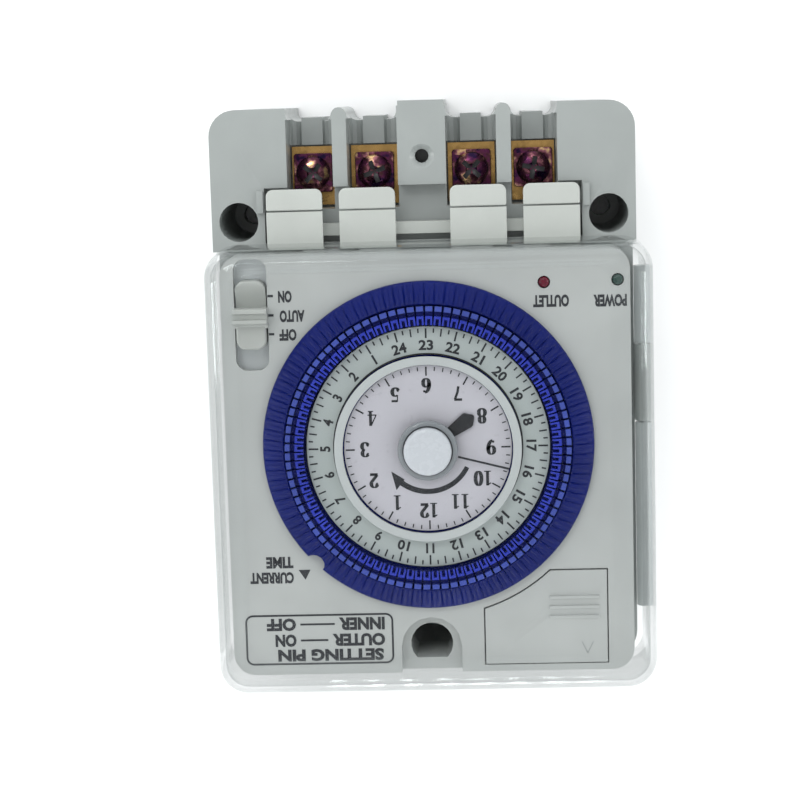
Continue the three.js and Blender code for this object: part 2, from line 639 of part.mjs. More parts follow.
function minuteDisc() {
  return ringOf([1.8, MINUTE_DISC_RADIUS], MINUTE_DISC_Z, dialAxis, 40);
}

function knobSkirt() {
  const bottom = MINUTE_DISC_Z[1] + GAP;
  return turned([
    [1.8, bottom], [KNOB_SKIRT_RADIUS, bottom], [KNOB_SKIRT_RADIUS, bottom + 1.2],
    [KNOB_SKIRT_RADIUS - 0.5, bottom + 1.6], [1.8, bottom + 1.6], [1.8, bottom],
  ], dialAxis, 24);
}

function knobCap() {
  const bottom = MINUTE_DISC_Z[1] + 2 * GAP + 1.6;
  return turned([
    [0, bottom], [KNOB_CAP_RADIUS, bottom], [KNOB_CAP_RADIUS, KNOB_TOP_Z - 0.8],
    [KNOB_CAP_RADIUS - 0.8, KNOB_TOP_Z], [0, KNOB_TOP_Z],
  ], dialAxis, 24);
}

// ---- Gear train ----------------------------------------------------------------------------------

const transferAxis = [-TRANSFER_DISTANCE, DIAL_Y];
const moduleFor = ([first, second]) => (2 * TRANSFER_DISTANCE) / (first + second);
const MINUTE_MODULE = moduleFor(MINUTE_TEETH);
const motorAxis = [-TRANSFER_DISTANCE, DIAL_Y - (MINUTE_MODULE * (MINUTE_TEETH[1] + MOTOR_TEETH)) / 2];
const PROGRAM_GEAR_Z = [33.4, 35.4];
const HOUR_WHEEL_Z = [17, 18.8];
const MINUTE_WHEEL_Z = [12, 13.8];

// A gap, not a tooth, points at the given angle.
const gapAngle = (angle, teeth) => angle + Math.PI / teeth;

function programGear() {
  const bore = 7.7;
  return gear(dialAxis, [PROGRAM_TEETH[0], moduleFor(PROGRAM_TEETH)], PROGRAM_GEAR_Z,
    gapAngle(Math.PI, PROGRAM_TEETH[0]), bore);
}

function hourWheel() {
  const wheel = gear(dialAxis, [HOUR_TEETH[0], moduleFor(HOUR_TEETH)], HOUR_WHEEL_Z,
    gapAngle(Math.PI, HOUR_TEETH[0]), 2.4);
  return join(wheel, ringOf([1.9, 2.9], [HOUR_WHEEL_Z[0], HOUR_HAND_Z[1]], dialAxis, 20));
}

function minuteArbor() {
  const pinion = gear(dialAxis, [MINUTE_TEETH[0], MINUTE_MODULE], MINUTE_WHEEL_Z,
    gapAngle(Math.PI, MINUTE_TEETH[0]));
  const top = MINUTE_DISC_Z[1] + GAP + 1.6;
  return join(pinion, rod(dialAxis, 1.5, [9, top], 16));
}

function transferArbor() {
  const shaft = rod(transferAxis, 1.2, [9, 37], 12);
  const drive = gear(transferAxis, [PROGRAM_TEETH[1], moduleFor(PROGRAM_TEETH)], PROGRAM_GEAR_Z, 0);
  const hour = gear(transferAxis, [HOUR_TEETH[1], moduleFor(HOUR_TEETH)], HOUR_WHEEL_Z, 0);
  const minute = gear(transferAxis, [MINUTE_TEETH[1], MINUTE_MODULE], MINUTE_WHEEL_Z, 0);
  return join(shaft, drive, hour, minute);
}

function driveMotor() {
  const can = turned([
    [0, 3.4], [15.5, 3.4], [16, 3.9], [16, 10], [15.5, 10.5], [5, 10.5], [5, 11.3], [2, 11.3],
    [2, 8], [0, 8],
  ], motorAxis, 24);
  return can;
}

function motorPinion() {
  const pinion = gear(motorAxis, [MOTOR_TEETH, MINUTE_MODULE], MINUTE_WHEEL_Z,
    gapAngle(Math.PI / 2, MOTOR_TEETH));
  return join(pinion, rod(motorAxis, 1.2, [8.5, MINUTE_WHEEL_Z[1] + 0.6], 12));
}

function mechanismPlate() {
  const plate = slab(roundedOutline([-38, 20], [-7, 38], 3), [22, 23.2]);
  return cut(plate,
    rod(dialAxis, 3.4, [0, 60], 20),
    rod(transferAxis, 2, [0, 60], 16));
}

// ---- Contact side --------------------------------------------------------------------------------

const LEVER_PIVOT = [-29, 37];        // y, z
const PLUNGER_Y = -14;

function followerLever() {
  const arm = box([-2.2, 2.2], [-30.6, -12.6], [36, 38]);
  const eye = rodAlongX(LEVER_PIVOT, 1.9, [-2.2, 2.2], 16);
  const nose = box([-1.4, 1.4], [-21.8, -19.2], [37.5, RING_BOTTOM_Z - GAP]);
  return cut(join(arm, eye, nose), rodAlongX(LEVER_PIVOT, 1.05, [-9, 9], 12));
}

function followerSpring() {
  const turns = 3;
  const points = [];
  const stepsPerTurn = 10;
  for (let step = 0; step <= turns * stepsPerTurn; step += 1) {
    const angle = (step / stepsPerTurn) * 2 * Math.PI;
    points.push(new THREE.Vector3(
      2.9 + (step / stepsPerTurn) * 0.75,
      LEVER_PIVOT[0] + 1.7 * Math.cos(angle),
      LEVER_PIVOT[1] + 1.7 * Math.sin(angle)));
  }
  const wire = new THREE.Shape();
  wire.absarc(0, 0, 0.22, 0, 2 * Math.PI);
  return solid(new THREE.ExtrudeGeometry(wire, {
    steps: turns * stepsPerTurn, curveSegments: 3, bevelEnabled: false,
    extrudePath: new THREE.CatmullRomCurve3(points),
  }));
}

function microswitchBody() {
  return cut(box([-5, 5], [-25, -9], [21, 32.6]),
    rod([0, PLUNGER_Y], 1.5, [28.6, 34], 12),
    rodAlongX([-22, 23.6], 1.3, [-9, 9], 12),
    rodAlongX([-12, 23.6], 1.3, [-9, 9], 12));
}

function overrideSlider() {
  const [width, length] = SLIDER_SIZE;
  const across = [SWITCH_X - width / 2, SWITCH_X + width / 2];
  const body = slab(roundedOutline(across, [SWITCH_Y - length / 2, SWITCH_Y + length / 2], 2.2),
    [40.6, 45.2], 4);
  const grip = box([SWITCH_X - 3.9, SWITCH_X + 3.9], [SWITCH_Y - 1.6, SWITCH_Y + 1.6], [44.6, 48.6]);
  const stem = box([SWITCH_X - 1.6, SWITCH_X + 1.6], [SWITCH_Y - 1.6, SWITCH_Y + 1.6], [36, 41]);
  return join(body, grip, stem);
}

function overrideSwitchBody() {
  const block = box([SWITCH_X - 4.7, SWITCH_X + 4.2], [-30.8, -6.8], [31, 40.2]);
  return cut(block, box([SWITCH_X - 2, SWITCH_X + 2], [SWITCH_Y - 6.6, SWITCH_Y + 6.6], [35.4, 50]));
}

function indicatorLens([x, y]) {
  return turned([
    [0, 35.8], [LED_RADIUS, 35.8], [LED_RADIUS, PANEL_Z], [LED_RADIUS * 0.7, PANEL_Z + 0.4],
    [0, PANEL_Z + 0.55],
  ], [x, y], 16);
}

function caseScrew([x, y]) {
  const screw = turned([
    [0, 0.4], [2.6, 0.4], [2.6, 1.7], [1.3, 1.9], [1.3, 33.2], [0, 34.2],
  ], [x, y], 12);
  return cut(screw, box([x - 1.8, x + 1.8], [y - 0.35, y + 0.35], [0, 1]));
}

// ---- Assembly ------------------------------------------------------------------------------------

place('rear_housing', rearHousing(), housingGrey);
place('front_case', frontCase(), panelGrey);
place('clear_cover', clearCover(), clear);
place('cover_hinge_pin', rodAlongY([HINGE_X, HINGE_Z], HINGE_PIN_RADIUS, [-27.8, 52.2], 12), steel);
place('battery_door', batteryDoor(), panelGrey);
place('backup_battery', backupBattery(), batteryBlue);

terminals();
place('terminal_guard', terminalGuard(), flapWhite);
FLAP_CENTRES.forEach((x, index) => place(`terminal_flap_${index + 1}`, terminalFlap(x), flapWhite));

place('program_ring', programRing(), blue);
for (let number = 0; number < PIN_COUNT; number += 1) {
  if (isLoosePin(number)) {
    const order = number / (PIN_COUNT / LOOSE_PIN_COUNT) + 1;
    place(`time_pin_${order}`, timePin(pinAngle(number)), pinBlue);
  }
}
place('hour_scale', hourScale(), scaleGrey);
place('clock_dial', ringOf([3.4, CLOCK_DIAL_RADIUS], CLOCK_DIAL_Z, dialAxis, 36), dialWhite);
place('dial_bearing', dialBearing(), nylon);
place('hour_hand', hourHand(), black);
place('minute_disc', minuteDisc(), clear);
place('knob_skirt', knobSkirt(), clear);
place('knob_cap', knobCap(), dialWhite);

place('program_gear', programGear(), nylon);
place('hour_wheel', hourWheel(), nylon);
place('minute_arbor', minuteArbor(), brass);
place('transfer_arbor', transferArbor(), nylon);
place('drive_motor', driveMotor(), steel);
place('motor_pinion', motorPinion(), brass);
place('mechanism_plate', mechanismPlate(), steel);

place('microswitch_body', microswitchBody(), black);
place('microswitch_plunger', rod([0, PLUNGER_Y], 1.2, [30.4, 35.7], 12), nylon);
place('follower_lever', followerLever(), nylon);
place('follower_pivot', rodAlongX(LEVER_PIVOT, 0.75, [-6, 6], 12), steel);
place('follower_spring', followerSpring(), steel);
place('override_slider', overrideSlider(), flapWhite);
place('override_switch_body', overrideSwitchBody(), black);
place('circuit_board', box([14, 43.6], [-22, 50], [5, 6.6]), boardGreen);
place('relay', box([21, 37], [-18, 10], [6.9, 20]), black);
place('output_led', indicatorLens(OUTPUT_LED), redLens);
place('power_led', indicatorLens(POWER_LED), greenLens);
CASE_SCREWS.forEach((at, index) => place(`case_screw_${index + 1}`, caseScrew(at), steel));

export default root;
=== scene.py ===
"""Looks of the programmable timer: a 24 hour time switch lying on its back, dial up.

Every length written as a plain number below is in millimetres and is turned into metres by MM.
The dial's own pieces are built round its axis at (0, DIAL_Y).
"""
import json
import math

import bmesh
import bpy
from mathutils import Matrix, Vector


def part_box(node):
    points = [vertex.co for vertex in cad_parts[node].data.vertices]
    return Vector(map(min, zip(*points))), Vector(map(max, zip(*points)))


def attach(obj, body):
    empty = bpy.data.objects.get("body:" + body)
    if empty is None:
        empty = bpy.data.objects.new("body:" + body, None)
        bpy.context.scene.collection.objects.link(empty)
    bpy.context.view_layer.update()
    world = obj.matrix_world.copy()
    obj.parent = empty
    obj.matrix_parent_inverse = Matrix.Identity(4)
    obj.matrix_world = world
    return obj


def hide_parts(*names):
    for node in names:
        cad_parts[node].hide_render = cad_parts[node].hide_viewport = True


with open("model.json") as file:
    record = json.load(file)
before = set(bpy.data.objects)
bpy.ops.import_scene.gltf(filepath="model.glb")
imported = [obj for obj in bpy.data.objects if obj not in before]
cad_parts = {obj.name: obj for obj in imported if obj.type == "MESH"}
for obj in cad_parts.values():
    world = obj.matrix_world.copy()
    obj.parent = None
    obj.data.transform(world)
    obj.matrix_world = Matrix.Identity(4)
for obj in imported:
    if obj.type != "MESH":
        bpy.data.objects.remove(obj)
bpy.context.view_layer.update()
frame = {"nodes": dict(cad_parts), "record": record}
MM = 0.001


def edges_of(node):
    """Lowest and highest corner of a CAD node, in millimetres."""
    low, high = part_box(node)
    return [c / MM for c in low], [c / MM for c in high]


# ---- Sizes that follow the frame ---------------------------------------------------------------

PANEL_Z = 44.0
RING_LOW, RING_HIGH = edges_of("program_ring")
DIAL_Y = (RING_LOW[1] + RING_HIGH[1]) / 2
RING_RADIUS = (RING_HIGH[0] - RING_LOW[0]) / 2
PIN_TOP = edges_of("time_pin_1")[1][2]
SCALE_TOP = edges_of("hour_scale")[1][2]
DIAL_TOP = edges_of("clock_dial")[1][2]
DISC_LOW, DISC_HIGH = edges_of("minute_disc")
PIN_COUNT = 96
LOOSE_EVERY = 12
PIN_PITCH = 2 * math.pi / PIN_COUNT

# ---- Camera ------------------------------------------------------------------------------------

CAMERA_PLACE = (-12.342, -67.938, 513.494)
CAMERA_RIGHT = Vector((-0.998978, 0.028099, -0.035383))
CAMERA_DOWN = Vector((0.022731, 0.989332, 0.143899))
CAMERA_LENS = 93.746


def make_camera():
    data = bpy.data.cameras.new("camera")
    data.lens = CAMERA_LENS
    data.sensor_width = 36
    data.clip_end = 20
    camera = bpy.data.objects.new("camera", data)
    bpy.context.scene.collection.objects.link(camera)
    forward = CAMERA_RIGHT.cross(-CAMERA_DOWN).normalized()
    turn = Matrix((CAMERA_RIGHT, -CAMERA_DOWN, forward)).transposed().to_4x4()
    camera.matrix_world = Matrix.Translation(Vector(CAMERA_PLACE) * MM) @ turn
    bpy.context.scene.camera = camera
    bpy.context.scene.view_settings.view_transform = "Standard"


# ---- Materials ---------------------------------------------------------------------------------


def linear(channel):
    channel /= 255
    return channel / 12.92 if channel <= 0.04045 else ((channel + 0.055) / 1.055) ** 2.4


def tone(red, green, blue):
    """A display colour, 0 to 255, as a linear colour."""
    return (linear(red), linear(green), linear(blue), 1.0)


def scaled(color, factor):
    return tuple(min(1.0, c * factor) for c in color[:3]) + (1.0,)


class Nodes:
    """A material's node tree with short ways to add to it."""

    def __init__(self, name):
        self.material = bpy.data.materials.new(name)
        self.material.use_nodes = True
        self.tree = self.material.node_tree
        self.shader = self.tree.nodes["Principled BSDF"]
        self.output = self.tree.nodes["Material Output"]
        self.place = self.add("ShaderNodeTexCoord").outputs["Object"]

    def add(self, kind, **settings):
        node = self.tree.nodes.new(kind)
        for key, value in settings.items():
            setattr(node, key, value)
        return node

    def link(self, source, target):
        self.tree.links.new(source, target)

    def noise(self, scale, detail=3, stretch=(1, 1, 1)):
        mapping = self.add("ShaderNodeMapping")
        mapping.inputs["Scale"].default_value = stretch
        self.link(self.place, mapping.inputs["Vector"])
        texture = self.add("ShaderNodeTexNoise")
        texture.inputs["Scale"].default_value = scale
        texture.inputs["Detail"].default_value = detail
        self.link(mapping.outputs["Vector"], texture.inputs["Vector"])
        return texture.outputs["Fac"]

    def ramp(self, factor, stops):
        node = self.add("ShaderNodeValToRGB")
        elements = node.color_ramp.elements
        while len(elements) < len(stops):
            elements.new(0.5)
        for element, (position, color) in zip(elements, stops):
            element.position = position
            element.color = color
        self.link(factor, node.inputs["Fac"])
        return node.outputs["Color"]

    def spread(self, factor, low, high):
        node = self.add("ShaderNodeMapRange")
        node.inputs["From Min"].default_value = 0.3
        node.inputs["From Max"].default_value = 0.7
        node.inputs["To Min"].default_value = low
        node.inputs["To Max"].default_value = high
        self.link(factor, node.inputs["Value"])
        return node.outputs["Result"]

    def bump(self, height, strength, distance):
        node = self.add("ShaderNodeBump")
        node.inputs["Strength"].default_value = strength
        node.inputs["Distance"].default_value = distance * MM
        self.link(height, node.inputs["Height"])
        self.link(node.outputs["Normal"], self.shader.inputs["Normal"])

    def set(self, **values):
        for key, value in values.items():
            self.shader.inputs[key.replace("_", " ")].default_value = value


def moulded(name, color, roughness=0.42, grain=0.25, mottling=0.04, coat=0.0, shine=0.5):
    """Moulded plastic: fine spark-eroded grain, faint mottling and an uneven gloss."""
    nodes = Nodes(name)
    mottle = nodes.noise(90, 4)
    nodes.link(
        nodes.ramp(mottle, [(0.3, scaled(color, 1 - mottling)), (0.7, scaled(color, 1 + mottling))]),
        nodes.shader.inputs["Base Color"])
    nodes.link(nodes.spread(nodes.noise(700, 3), roughness - 0.06, roughness + 0.08),
               nodes.shader.inputs["Roughness"])
    nodes.bump(nodes.noise(2600, 3), grain, 0.03)
    nodes.set(Coat_Weight=coat, Coat_Roughness=0.15, Specular_IOR_Level=shine)
    return nodes.material


def see_through(name, tint, body, edge, mirror=1.0, gloss=0.14):
    """Clear moulding: lets most light through square on and reflects more at a glancing angle."""
    nodes = Nodes(name)
    nodes.set(Base_Color=tint, Metallic=mirror)
    nodes.link(nodes.spread(nodes.noise(60, 3), 0.04, 0.12), nodes.shader.inputs["Roughness"])
    clear = nodes.add("ShaderNodeBsdfTransparent")
    facing = nodes.add("ShaderNodeLayerWeight")
    facing.inputs["Blend"].default_value = gloss
    amount = nodes.add("ShaderNodeMapRange")
    amount.inputs["To Min"].default_value = body
    amount.inputs["To Max"].default_value = edge
    nodes.link(facing.outputs["Facing"], amount.inputs["Value"])
    mix = nodes.add("ShaderNodeMixShader")
    nodes.link(amount.outputs["Result"], mix.inputs["Fac"])
    nodes.link(clear.outputs["BSDF"], mix.inputs[1])
    nodes.link(nodes.shader.outputs["BSDF"], mix.inputs[2])
    nodes.link(mix.outputs["Shader"], nodes.output.inputs["Surface"])
    return nodes.material


def metal(name, color, roughness=0.32, streak=(1, 1, 1)):
    nodes = Nodes(name)
    nodes.link(nodes.ramp(nodes.noise(300, 4), [(0.3, scaled(color, 0.85)), (0.7, scaled(color, 1.1))]),
               nodes.shader.inputs["Base Color"])
    nodes.link(nodes.spread(nodes.noise(900, 4, streak), roughness - 0.1, roughness + 0.12),
               nodes.shader.inputs["Roughness"])
    nodes.bump(nodes.noise(1500, 3, streak), 0.2, 0.02)
    nodes.set(Metallic=1.0)
    return nodes.material


def iridescent(name):
    """Purple and gold passivated zinc, in patches a few millimetres across."""
    nodes = Nodes(name)
    patches = nodes.noise(330, 3)
    nodes.link(nodes.ramp(patches, [
        (0.34, tone(36, 24, 50)), (0.44, tone(88, 42, 70)), (0.52, tone(74, 46, 50)),
        (0.59, tone(138, 86, 98)), (0.66, tone(204, 170, 124)),
    ]), nodes.shader.inputs["Base Color"])
    nodes.link(nodes.spread(nodes.noise(800, 3), 0.16, 0.4), nodes.shader.inputs["Roughness"])
    nodes.bump(nodes.noise(1300, 3), 0.35, 0.05)
    nodes.set(Metallic=1.0)
    return nodes.material


def lens(name, color):
    nodes = Nodes(name)
    nodes.link(nodes.ramp(nodes.noise(500, 2), [(0.3, scaled(color, 0.8)), (0.7, scaled(color, 1.2))]),
               nodes.shader.inputs["Base Color"])
    nodes.set(Roughness=0.18, Coat_Weight=0.15, Coat_Roughness=0.05, Specular_IOR_Level=0.25)
    return nodes.material


MATERIALS = {
    "housing": moulded("housing_plastic", tone(142, 147, 145), 0.36, coat=0.2),
    "panel": moulded("panel_plastic", tone(160, 164, 162), 0.38, grain=0.15),
    "flap": moulded("flap_plastic", tone(173, 177, 172), 0.4, grain=0.12),
    "slider": moulded("slider_plastic", tone(157, 161, 157), 0.36, grain=0.1),
    "clear": see_through("clear_plastic", tone(152, 158, 157), 0.0, 1.0),
    "clear_edge": see_through("clear_edge", tone(164, 170, 169), 0.04, 1.0, gloss=0.22),
    "disc_clear": see_through("dial_window", tone(226, 228, 232), 0.0, 0.5),
    "frosted": see_through("frosted_rim", tone(184, 190, 190), 0.8, 0.95, mirror=0.0),
    "knob_ring": see_through("knob_ring", tone(150, 156, 160), 0.6, 0.95, mirror=0.0),
    "dial_blue": moulded("dial_blue_plastic", tone(6, 20, 88), 0.36, grain=0.2, mottling=0.12,
                         shine=0.12),
    # Darker blue for the foot and the floors of the time pins' hollows: painted shade.
    "painted_shade_blue": moulded("painted_shade_blue_plastic", tone(10, 20, 84), 0.4, grain=0.2, mottling=0.1, shine=0.1),
    "pin_blue": moulded("pin_blue_plastic", tone(38, 52, 156), 0.3, grain=0.1, mottling=0.1, shine=0.25),
    "pin_end": moulded("pin_end_plastic", tone(54, 70, 148), 0.35, grain=0.1, mottling=0.15, shine=0.3),
    "scale": moulded("scale_plastic", tone(163, 172, 170), 0.35, grain=0.08),
    "dial_face": moulded("dial_plastic", tone(185, 185, 192), 0.32, grain=0.05, mottling=0.02),
    "knob": moulded("knob_plastic", tone(186, 191, 196), 0.25, grain=0.05, mottling=0.02, coat=0.3),
    # Besides real print and black parts, the ink also stands for the shadow in the gap at the foot of the
    # knob cap, and the black plastic also darkens the screws' cross recesses and lines the gap inside the
    # hour scale: painted shade.
    "ink": moulded("print_and_painted_shadow_ink", tone(30, 33, 38), 0.55, grain=0.1, mottling=0.15),
    "black": moulded("black_plastic_and_painted_shade", tone(24, 26, 30), 0.35, grain=0.15),
    "slot_floor": moulded("slot_floor_plastic", tone(206, 212, 213), 0.4, grain=0.1),
    "nylon": moulded("natural_acetal", tone(224, 219, 204), 0.4),
    "steel": metal("zinc_plated_steel", tone(196, 198, 202), 0.3, (1, 12, 1)),
    "zinc": iridescent("passivated_zinc"),
    "brass": metal("brass", tone(166, 132, 80), 0.3),
    "board": moulded("solder_resist", tone(44, 108, 70), 0.35, mottling=0.12),
    "lens_red": lens("red_lens", tone(84, 12, 32)),
    "lens_green": lens("green_lens", tone(36, 60, 54)),
    "cell": moulded("shrink_sleeve", tone(60, 104, 150), 0.3, mottling=0.08),
}

# ---- Mesh helpers ------------------------------------------------------------------------------


def link_piece(name, mesh, body, *finishes, stands_for=(), sharp=35):
    """Adds a finished mesh, already in metres, as a piece that rides on a CAD body."""
    piece = bpy.data.objects.new(name, mesh)
    bpy.context.scene.collection.objects.link(piece)
    if mesh.materials:
        mesh.materials.clear()
    for finish in finishes:
        mesh.materials.append(MATERIALS[finish])
    mesh.shade_smooth()
    mesh.set_sharp_from_angle(angle=math.radians(sharp))
    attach(piece, body)
    if stands_for:
        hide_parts(*stands_for)
    return piece


def mesh_from(bm, name):
    mesh = bpy.data.meshes.new(name)
    bmesh.ops.recalc_face_normals(bm, faces=bm.faces)
    bm.to_mesh(mesh)
    bm.free()
    return mesh


def join_loops(bm, pairs):
    """Walls of four-sided faces between each pair of closed point loops."""
    for first, second in pairs:
        for index in range(len(first)):
            other = (index + 1) % len(first)
            bm.faces.new((first[index], first[other], second[other], second[index]))


def close_prism(bm, low, high):
    """Both ends and the wall of a prism, from its two point loops."""
    bm.faces.new(high)
    bm.faces.new(list(reversed(low)))
    join_loops(bm, [(low, high)])


def shifted(bm, x=0.0, y=0.0, z=0.0):
    bmesh.ops.translate(bm, verts=bm.verts, vec=Vector((x, y, z)) * MM)


def cut_with(mesh, cutters):
    """The mesh with closed cutter meshes taken away, one after another."""
    target = bpy.data.objects.new("cut_target", mesh)
    bpy.context.scene.collection.objects.link(target)
    tools = []
    for number, cutter in enumerate(cutters):
        tool = bpy.data.objects.new(f"cut_tool_{number}", cutter)
        bpy.context.scene.collection.objects.link(tool)
        modifier = target.modifiers.new(f"cut_{number}", "BOOLEAN")
        modifier.operation = "DIFFERENCE"
        modifier.solver = "EXACT"
        modifier.object = tool
        tools.append(tool)
    bpy.context.view_layer.update()
    evaluated = target.evaluated_get(bpy.context.evaluated_depsgraph_get())
    result = bpy.data.meshes.new_from_object(evaluated)
    for leftover in (target, *tools):
        bpy.data.objects.remove(leftover)
    return result


def block(x, y, z, name="block"):
    """A box mesh from three (low, high) pairs in millimetres."""
    bm = bmesh.new()
    bmesh.ops.create_cube(bm, size=1.0)
    for vertex in bm.verts:
        for axis, (low, high) in enumerate((x, y, z)):
            vertex.co[axis] = (low if vertex.co[axis] < 0 else high) * MM
    return mesh_from(bm, name)


def revolved(profile, segments, ends_on_axis=False):
    """A turned bmesh about Z: profile is a list of (radius, height) going round the section."""
    bm = bmesh.new()
    columns = []
    for step in range(segments):
        angle = 2 * math.pi * step / segments
        columns.append([bm.verts.new((r * MM * math.cos(angle), r * MM * math.sin(angle), z * MM))
                        for r, z in profile])
    count = len(profile) - 1 if ends_on_axis else len(profile)
    for step, column in enumerate(columns):
        beside = columns[(step + 1) % segments]
        for row in range(count):
            above = (row + 1) % len(profile)
            bm.faces.new((column[row], beside[row], beside[above], column[above]))
    bmesh.ops.remove_doubles(bm, verts=bm.verts, dist=1e-7)
    return bm


def rounded_section(corners, radius, steps=3):
    """A closed (radius, height) section with its corners rounded off."""
    section = []
    for index, corner in enumerate(corners):
        here = Vector(corner)
        before = Vector(corners[index - 1]) - here
        after = Vector(corners[(index + 1) % len(corners)]) - here
        reach = min(radius, before.length * 0.45, after.length * 0.45)
        start = here + before.normalized() * reach
        end = here + after.normalized() * reach
        for step in range(steps + 1):
            t = step / steps
            point = start * (1 - t) ** 2 + here * 2 * t * (1 - t) + end * t * t
            section.append(tuple(point))
    return section


def softened(node, finish, width=0.35, segments=2, sharp=40, cutters=()):
    """A CAD node's own shape with its flat facets joined and its edges rounded."""
    source = frame["nodes"][node]
    mesh = source.data.copy()
    mesh.transform(source.matrix_world)
    if cutters:
        mesh = cut_with(mesh, cutters)
    bm = bmesh.new()
    bm.from_mesh(mesh)
    bmesh.ops.remove_doubles(bm, verts=bm.verts, dist=2e-6)
    bmesh.ops.dissolve_limit(bm, angle_limit=math.radians(1), verts=bm.verts, edges=bm.edges)
    mesh = mesh_from(bm, f"{node}_mesh")
    body = next(name for name, nodes in BODY_NODES.items() if node in nodes)
    piece = link_piece(f"{node}_finished", mesh, body, finish, stands_for=(node,), sharp=sharp)
    if width:
        rounding = piece.modifiers.new("rounded_edges", "BEVEL")
        rounding.width = width * MM
        rounding.segments = segments
        rounding.limit_method = "ANGLE"
        rounding.angle_limit = math.radians(34)
        rounding.harden_normals = True
        rounding.use_clamp_overlap = True
    return piece


BODY_NODES = frame["record"]["behaviour"]["bodies"]

# ---- Lettering and printed marks ---------------------------------------------------------------

INK_THICKNESS = 0.03
INK_LIFT = 0.01  # the gap that keeps a print clear of the face under it


def add_bar(bm, start, end, width, z):
    """A printed line from start to end, in millimetres."""
    start, end = Vector(start), Vector(end)
    along = (end - start).normalized()
    across = Vector((-along.y, along.x)) * width / 2
    outline = [start - across, end - across, end + across, start + across]
    add_plate(bm, outline, z)


def add_plate(bm, outline, z):
    """A thin printed plate of ink with that outline."""
    low = [bm.verts.new((p[0] * MM, p[1] * MM, z * MM)) for p in outline]
    high = [bm.verts.new((p[0] * MM, p[1] * MM, (z + INK_THICKNESS) * MM)) for p in outline]
    close_prism(bm, low, high)


def add_text(bm, text, centre, size, z, turn=0.0, weight=0.0):
    """Lettering whose box is size = (width, height), turned by an angle about its centre."""
    curve = bpy.data.curves.new("lettering", "FONT")
    curve.body = text
    curve.size = 1.0
    curve.offset = weight
    curve.resolution_u = 3
    curve.extrude = 0.05
    holder = bpy.data.objects.new("lettering", curve)
    bpy.context.scene.collection.objects.link(holder)
    bpy.context.view_layer.update()
    mesh = bpy.data.meshes.new_from_object(holder.evaluated_get(bpy.context.evaluated_depsgraph_get()))
    bpy.data.objects.remove(holder)
    xs = [v.co.x for v in mesh.vertices]
    ys = [v.co.y for v in mesh.vertices]
    zs = [v.co.z for v in mesh.vertices]
    width = size[0] if size[0] else size[1] * (max(xs) - min(xs)) / (max(ys) - min(ys)) * 0.92
    fit = Matrix.Diagonal((
        width * MM / (max(xs) - min(xs)), size[1] * MM / (max(ys) - min(ys)),
        INK_THICKNESS * MM / (max(zs) - min(zs)), 1))
    to_origin = Matrix.Translation((-(max(xs) + min(xs)) / 2, -(max(ys) + min(ys)) / 2, -min(zs)))
    to_place = Matrix.Translation((centre[0] * MM, centre[1] * MM, z * MM))
    mesh.transform(to_place @ Matrix.Rotation(turn, 4, "Z") @ fit @ to_origin)
    bm.from_mesh(mesh)


def arc(cx, cy, rx, ry, start, end, steps=14):
    """Points along part of an ellipse, angles in degrees."""
    points = []
    for step in range(steps + 1):
        angle = math.radians(start + (end - start) * step / steps)
        points.append((cx + rx * math.cos(angle), cy + ry * math.sin(angle)))
    return points


# Strokes of the serif digits in a box 0.6 wide and 1 high: (points, width, or None for a broad nib).
SERIF_DIGITS = {
    "0": [(arc(0.3, 0.5, 0.19, 0.46, 0, 360, 28), None)],
    "1": [([(0.12, 0.8), (0.36, 0.96)], 0.08), ([(0.34, 0.98), (0.34, 0.04)], 0.2),
          ([(0.12, 0.035), (0.56, 0.035)], 0.07)],
    "2": [(arc(0.3, 0.71, 0.19, 0.25, 170, -30) + [(0.1, 0.12)], None),
          ([(0.07, 0.1), (0.56, 0.1)], 0.18), (arc(0.13, 0.72, 0.04, 0.04, 0, 360), 0.08)],
    "3": [(arc(0.28, 0.74, 0.18, 0.22, 160, -85), None), (arc(0.28, 0.28, 0.2, 0.25, 88, -160), None),
          (arc(0.12, 0.78, 0.035, 0.035, 0, 360), 0.08), (arc(0.11, 0.22, 0.04, 0.04, 0, 360), 0.08)],
    "4": [([(0.42, 0.99), (0.42, 0.04)], 0.19), ([(0.38, 0.96), (0.06, 0.29)], 0.08),
          ([(0.03, 0.28), (0.6, 0.28)], 0.08), ([(0.24, 0.035), (0.58, 0.035)], 0.07)],
    "5": [([(0.14, 0.91), (0.52, 0.91)], 0.14), ([(0.15, 0.95), (0.13, 0.5)], 0.07),
          (arc(0.26, 0.31, 0.2, 0.27, 125, -160), None), (arc(0.11, 0.22, 0.04, 0.04, 0, 360), 0.08)],
    "6": [(arc(0.31, 0.3, 0.19, 0.27, 0, 360, 24), None), (arc(0.45, 0.36, 0.34, 0.6, 185, 100), None),
          (arc(0.44, 0.86, 0.04, 0.04, 0, 360), 0.08)],
    "7": [([(0.06, 0.9), (0.56, 0.9)], 0.16), ([(0.52, 0.88), (0.34, 0.4), (0.28, 0.02)], 0.16)],
    "8": [(arc(0.3, 0.74, 0.16, 0.22, 0, 360, 24), None), (arc(0.3, 0.27, 0.2, 0.25, 0, 360, 24), None)],
}
SERIF_DIGITS["9"] = [([(0.6 - x, 1 - y) for x, y in points], width)
                     for points, width in SERIF_DIGITS["6"]]


